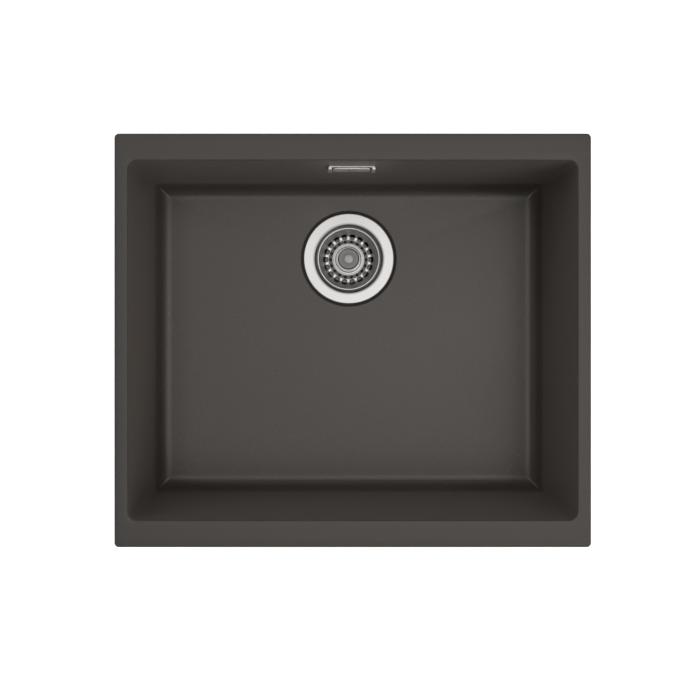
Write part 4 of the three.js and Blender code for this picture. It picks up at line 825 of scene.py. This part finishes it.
overflow_steel = satin_steel("overflow_steel_brushed", (0.74, 0.69, 0.665), 0.4)
surround = prism("overflow_surround", rectangle(27.5, 12.5, 2, 6, 1, 1), 0, 2, 0.25)
cheek_outline = rectangle(2.5, 12.5, 1.5, 6, 1, 1)
cheeks = [moved(prism("cheek", cheek_outline, 0.2, 4.6, 0.4), x=x) for x in (-25, 25)]
nib_outline = rectangle(1.5, 1, 0.4, 3, 1, 1)
nibs = [moved(prism("nib", nib_outline, 1, plate_back(13.5) - 0.3, 0.2), x=x, y=y)
        for x in (-15, 15) for y in (-10, 10)]
combine(surround, cheeks + nibs)
combine(surround, [prism("window", OVERFLOW_WINDOW, -3, 6)], "DIFFERENCE")
finish_piece(moved(surround, **WALL_FACE), overflow_steel, "sink", "overflow_steel", "overflow_frame")


def capped_rings(name, rings):
    """A shape through rings of points, closed at both ends by a fan to the ring's middle."""
    low = np.broadcast_to(rings[0].mean(0), rings[0].shape)
    high = np.broadcast_to(rings[-1].mean(0), rings[-1].shape)
    return add_object(name, mesh_of(name, [(np.stack([low, *rings, high]), False, True)]))


def bowed_plate():
    """The rings of the cover plate, across it from end to end: the back follows the bow, the front is
    flat, the long edges are rounded, and the rings shrink by a quarter circle at the ends."""
    x = np.linspace(-21, 21, 49)
    front = 3.9
    ring = rounded([(-10.5, 0, 0.15), (-10.5, 1, 0.25), (10.5, 1, 0.25), (10.5, 0, 0.15)], steps=5)
    ring = finer(ring, 2)
    ease = np.sqrt(np.clip(1 - (np.maximum(np.abs(x) - 20.6, 0) / 0.4) ** 2, 0.15, 1))
    rings = []
    for here, back, shrink in zip(x, plate_back(x), ease):
        middle = (back + front) / 2
        z = middle + (back + (front - back) * ring[:, 1] - middle) * shrink
        y = ring[:, 0] * (1 - 0.03 * (1 - shrink))
        rings.append(np.stack([np.full_like(y, here), y, z], -1))
    return rings


plate = capped_rings("overflow_cover", bowed_plate())
combine(plate, [prism("hole", disc(2.6, 40), 0, 8)], "DIFFERENCE")
finish_piece(moved(plate, **WALL_FACE), overflow_steel, "sink", "overflow_steel", "overflow_plate")


def cross_recess(reach, width, low, high):
    """The recess for a cross screwdriver, as a shape to cut out: two tapered bars, crossed."""

    def bar(turn):
        rings = [at_height(rectangle(reach * share, width / 2 * (0.6 + 0.4 * share), 0.1, 2, 1, 1), z)
                 for z, share in ((low, 0.35), (high, 1.0))]
        return moved(capped_rings("bar", rings), turn=turn)

    return combine(bar(0), [bar(90)])


screw_grid = lathe([
    (0, -1.2), (2.6, -1.2, 1), (3.6, -0.7, 0.3), (3.6, -0.3, 0.1), (2, -0.3, 0.1), (2, 26),
    (1.7, 26.6), (0, 26.6)], 56, 0.2)
screw = closed_shape("cover_screw", threaded(screw_grid, 2, 8, 26, 0.8, 0.3))
combine(screw, [moved(cross_recess(1.8, 0.8, -2, 0.3), z=-1.1, turn=180, axis="X")], "DIFFERENCE")
finish_piece(moved(screw, y=194.556, **SCREW_AXIS), plain_steel, "sink", "brushed_steel", "overflow_screw")

nut_grid = lathe([(2.3, 0, 0.3), (3.7, 0, 0.3), (3.7, 8, 0.3), (2.3, 8, 0.3)], 48, 0.15)
overflow_nut = closed_shape("box_insert", threaded(nut_grid, 2.3, 0.3, 7.7, 0.8, -0.2))
finish_piece(moved(overflow_nut, y=NUT_Y, **SCREW_AXIS), brass, "sink", "brass", "overflow_nut")

# Behind the wall: a rubber seal, and a moulded box that turns the water down into the hose.
HOSE_Y = 223.6
box_plate = rectangle(31.5, 16.5, 5, 8, 1, 1)
seal = prism("box_seal", box_plate, 209.3, 211.3, 0.3, axis="y")
combine(seal, [prism("window", OVERFLOW_WINDOW, 205, 215, axis="y")], "DIFFERENCE")
finish_piece(moved(seal, z=OVERFLOW_Z), rubber, "sink", "rubber", "overflow_seal")


def funnel_rings(half_x, half_y, radius, straight, drop, spout=()):
    """Rings round the hose's axis: rounded rectangles at the straight heights, then over the drop a mix
    with the circle, whose share follows (1 - cos a) / 2, and circles at the spout's heights."""
    angle = np.linspace(0, 2 * np.pi, 96, endpoint=False)
    cos, sin = np.cos(angle), np.sin(angle)
    stretch = 1 / (np.abs(cos) ** 9 + np.abs(sin) ** 9) ** (1 / 9)
    steps = np.arange(1, 13) / 12
    levels = [(z, 0) for z in straight] + [(z, 1) for z in spout]
    levels[len(straight):len(straight)] = [
        (straight[-1] - drop * step, (1 - np.cos(np.pi * step)) / 2) for step in steps]
    rings = []
    for z, share in levels:
        x = (1 - share) * half_x * cos * stretch + share * radius * cos
        y = (1 - share) * half_y * sin * stretch + share * radius * sin
        rings.append(np.stack([x, HOSE_Y + y, z + 0 * angle], -1))
    return rings


box = soften(capped_rings("overflow_elbow", funnel_rings(25, 12, 11, (-37.5, -38, -57.5), 20)), 1.2, 60)
box_flange = moved(prism("flange", box_plate, 211.6, 214.6, 0.7, axis="y"), z=OVERFLOW_Z)
combine(box, [box_flange, moved(spigot(11, 7.5, 0, -15), y=HOSE_Y, z=-76.5)])
room = capped_rings("room", funnel_rings(22.5, 9.5, 7.5, (-40, -55), 22.5, (-93,)))
mouth = moved(prism("mouth", rectangle(22.5, 7.5, 1, 3, 1, 1), 209, 222, axis="y"), z=OVERFLOW_Z)
combine(box, [room, mouth], "DIFFERENCE")
nut_boss = closed_shape("boss", lathe([(0, 0), (5.5, 0, 0.4), (5.5, 21), (0, 21)], 56))
nut_pocket = closed_shape("pocket", lathe([(0, -1), (4, -1), (4, 8.3), (0, 8.3)], 48))
combine(box, [moved(nut_boss, y=NUT_Y, **SCREW_AXIS)])
combine(box, [moved(nut_pocket, y=NUT_Y, **SCREW_AXIS)], "DIFFERENCE")
finish_piece(box, plastic, "sink", "body_plastic", "overflow_box", sharp=35)

# ---- Hose and unions ----------------------------------------------------------------------
# A ribbed polyethylene hose, 20 mm across its ribs, runs from the box down behind the bowl and
# round under it to the waste. At each end a union nut presses its collar on a washer.

BORE, VALLEY, RIB, PITCH = 7.5, 8.7, 1.3, 4  # radii of the bore and between ribs, a rib's height
COLLAR, COLLAR_LENGTH = 11, 2.5
BEND = 50  # radius of both bends


def hose_route(step):
    """Points and directions (y, z) every step millimetres: straight down, a shallow bow, a bend that
    turns under the bowl, and a straight end into the waste. Both bends have the radius BEND."""
    lean = math.radians(28.36)

    def bend(centre, start, end, count):
        angle = np.linspace(start, end, count)[:, None]
        return np.array(centre) + BEND * np.concatenate([np.cos(angle), np.sin(angle)], 1)

    line = np.concatenate([
        np.linspace([HOSE_Y, -94.1], [HOSE_Y, -156.8], 400),
        bend([HOSE_Y + BEND, -156.8], np.pi, np.pi + lean, 200),
        bend([185.6, -204.3], lean, -np.pi / 2, 800),
        np.linspace([185.6, -254.3], [165.6, -254.3], 150)])
    gap = np.linalg.norm(np.diff(line, axis=0), axis=1)
    line = line[np.concatenate([[True], gap > 1e-6])]
    far = np.concatenate([[0], np.cumsum(np.linalg.norm(np.diff(line, axis=0), axis=1))])
    places = np.linspace(0, far[-1], int(far[-1] / step) + 1)
    path = np.stack([np.interp(places, far, line[:, 0]), np.interp(places, far, line[:, 1])], -1)
    along = np.gradient(path, axis=0)
    return places, path, along / np.linalg.norm(along, axis=1, keepdims=True)


def hose_skin(sides=48):
    """Rings across the route: between the collars the radius swells by RIB times
    (0.5 - 0.5 cos(2 pi s / PITCH))^0.75 at the distance s, the bore follows by a third of that, and
    the skins join at the ends."""
    places, path, along = hose_route(0.36)
    length = places[-1]
    ribbed = length - 2 * COLLAR_LENGTH
    phase = 2 * np.pi * round(ribbed / PITCH) * (places - COLLAR_LENGTH) / ribbed
    swell = (0.5 - 0.5 * np.cos(phase)) ** 0.75
    edge = np.minimum(places, length - places)
    collar = edge < COLLAR_LENGTH
    outer = np.where(collar, COLLAR - 0.4 * np.clip(1 - edge / 0.4, 0, 1), VALLEY + RIB * swell)
    inner = np.where(collar, BORE, BORE + 0.45 * swell)
    angle = np.linspace(0, 2 * np.pi, sides, endpoint=False)

    def rings(radius):
        out = radius[:, None] * np.cos(angle)
        side = radius[:, None] * np.sin(angle)
        y = path[:, :1] - out * along[:, 1:]
        z = path[:, 1:] + out * along[:, :1]
        return np.stack([side, y, z], -1)

    return np.concatenate([rings(outer), rings(inner)[::-1]])


hose_plastic = moulded_look("grey_polyethylene", (0.53, 0.53, 0.51), 0.38, 0.15)
hose = closed_shape("ribbed_hose", hose_skin())
finish_piece(hose, hose_plastic, "sink", "hose_plastic", "overflow_hose", sharp=70)
nut_plastic = moulded_look("charcoal_plastic", (0.04, 0.041, 0.045), 0.4, 0.0)


def union(name, node, place):
    """A washer and a nut on a spigot whose end face is at height 0, the hose leaving along +Z. Eight
    grips stand 0.9 off the nut: each rises and falls as (1 - (a / a_end)^2)^0.6 round it."""
    washer_grid = lathe([(7.8, 0.3, 0.4), (COLLAR, 0.3, 0.4), (COLLAR, 2.3, 0.4), (7.8, 2.3, 0.4)], 72, 1)
    washer = moved(closed_shape(f"washer_{name}", washer_grid), **place)
    finish_piece(washer, rubber, "sink", "rubber", f"hose_washer_{node}")
    grid = lathe([(11.3, -10, 0.4), (13.5, -10, 0.7), (13.5, 8, 1.2), (10.3, 8, 0.3), (10.3, 5.4, 0.2),
                  (11.3, 5.4, 0.2)], 144, 0.3)
    grid = threaded(grid, 11.3, -9.8, -0.5, 1.8, 0.25)
    away = np.hypot(grid[..., 0], grid[..., 1])
    turns = np.arctan2(grid[..., 1], grid[..., 0]) / (2 * np.pi)
    lobe = np.clip(1 - (np.abs(np.mod(8 * turns + 0.5, 1) - 0.5) / 0.13) ** 2, 0, 1) ** 0.6
    ends = np.clip(np.minimum(grid[..., 2] + 9, 7 - grid[..., 2]) / 1.2, 0, 1)
    scale = np.where(away > 13.2, 1 + 0.9 * lobe * ends / away, 1)
    grid = np.stack([grid[..., 0] * scale, grid[..., 1] * scale, grid[..., 2]], -1)
    nut = moved(closed_shape(f"union_nut_{name}", grid), **place)
    finish_piece(nut, nut_plastic, "sink", "nut_plastic", f"hose_nut_{node}")


union("upper", "top", {"y": HOSE_Y, "z": -91.5, "turn": 180, "axis": "X"})
union("lower", "bottom", {"y": 163, "z": -254.3, "turn": -90, "axis": "X"})

# ---- Studio -------------------------------------------------------------------------------
# A white floor that curves up all round, an even surround, a wide soft lamp overhead with a strip
# beside it, softer lamps to two sides, and the camera straight above the bowl.

# The floor glows for the camera, in reflections and through clear things only, and casts no light.
studio = Look("studio_floor", Base_Color=(0.8, 0.8, 0.8), Roughness=0.9, Emission_Strength=0.8)
seen_by = [studio.node("ShaderNodeLightPath", output=f"Is {ray} Ray")
           for ray in ("Camera", "Glossy", "Transmission")]
studio.set(Emission_Color=seen_by[0] + seen_by[1] + seen_by[2])
base = cad_box[0][2] / MM - 0.5
floor_outline = rounded([(0, base), (4200, base, 1500), (4200, base + 1900)], closed=False, steps=16)
floor = add_object("studio_floor", mesh_of("studio_floor", [(turned(floor_outline, 96), False, True)]))
floor.data.shade_smooth()
floor.data.materials.append(studio.material)

world = bpy.data.worlds.new("surround")
bpy.context.scene.world = world
world.use_nodes = True
backdrop = world.node_tree.nodes["Background"]
backdrop.inputs["Color"].default_value = (1, 1, 1, 1)
backdrop.inputs["Strength"].default_value = 0.3


def soft_light(name, place, width, length, strength):
    """A rectangular lamp that faces the bowl; its power is strength times pi times its area, so that
    strength is the radiance of its surface."""
    lamp = bpy.data.lights.new(name, "AREA")
    lamp.shape = "RECTANGLE"
    lamp.size, lamp.size_y = width, length
    lamp.energy = strength * math.pi * width * length
    made = add_object(name, lamp)
    made.location = place
    made.rotation_euler = (Vector((0, 0, -0.1)) - Vector(place)).to_track_quat("-Z", "Y").to_euler()


soft_light("overhead", (0.22, 0, 2.2), 2.1, 2.2, 1.24)
soft_light("strip_right", (1.0, 0, 2.15), 0.3, 2.0, 0.95)
soft_light("fill_right_front", (1.62, -1.62, 1.93), 1.8, 1.8, 1.15)
soft_light("fill_left_rear", (-1.62, 1.62, 1.93), 1.8, 1.8, 0.94)

camera = add_object("camera", bpy.data.cameras.new("camera"))
camera.location = (-0.0337, 0.0243, 1.325)
camera.data.sensor_width = 36
camera.data.lens = 61.35
camera.data.shift_x = 0.0394
camera.data.shift_y = -0.045
bpy.context.scene.camera = camera
bpy.context.scene.view_settings.view_transform = "Standard"
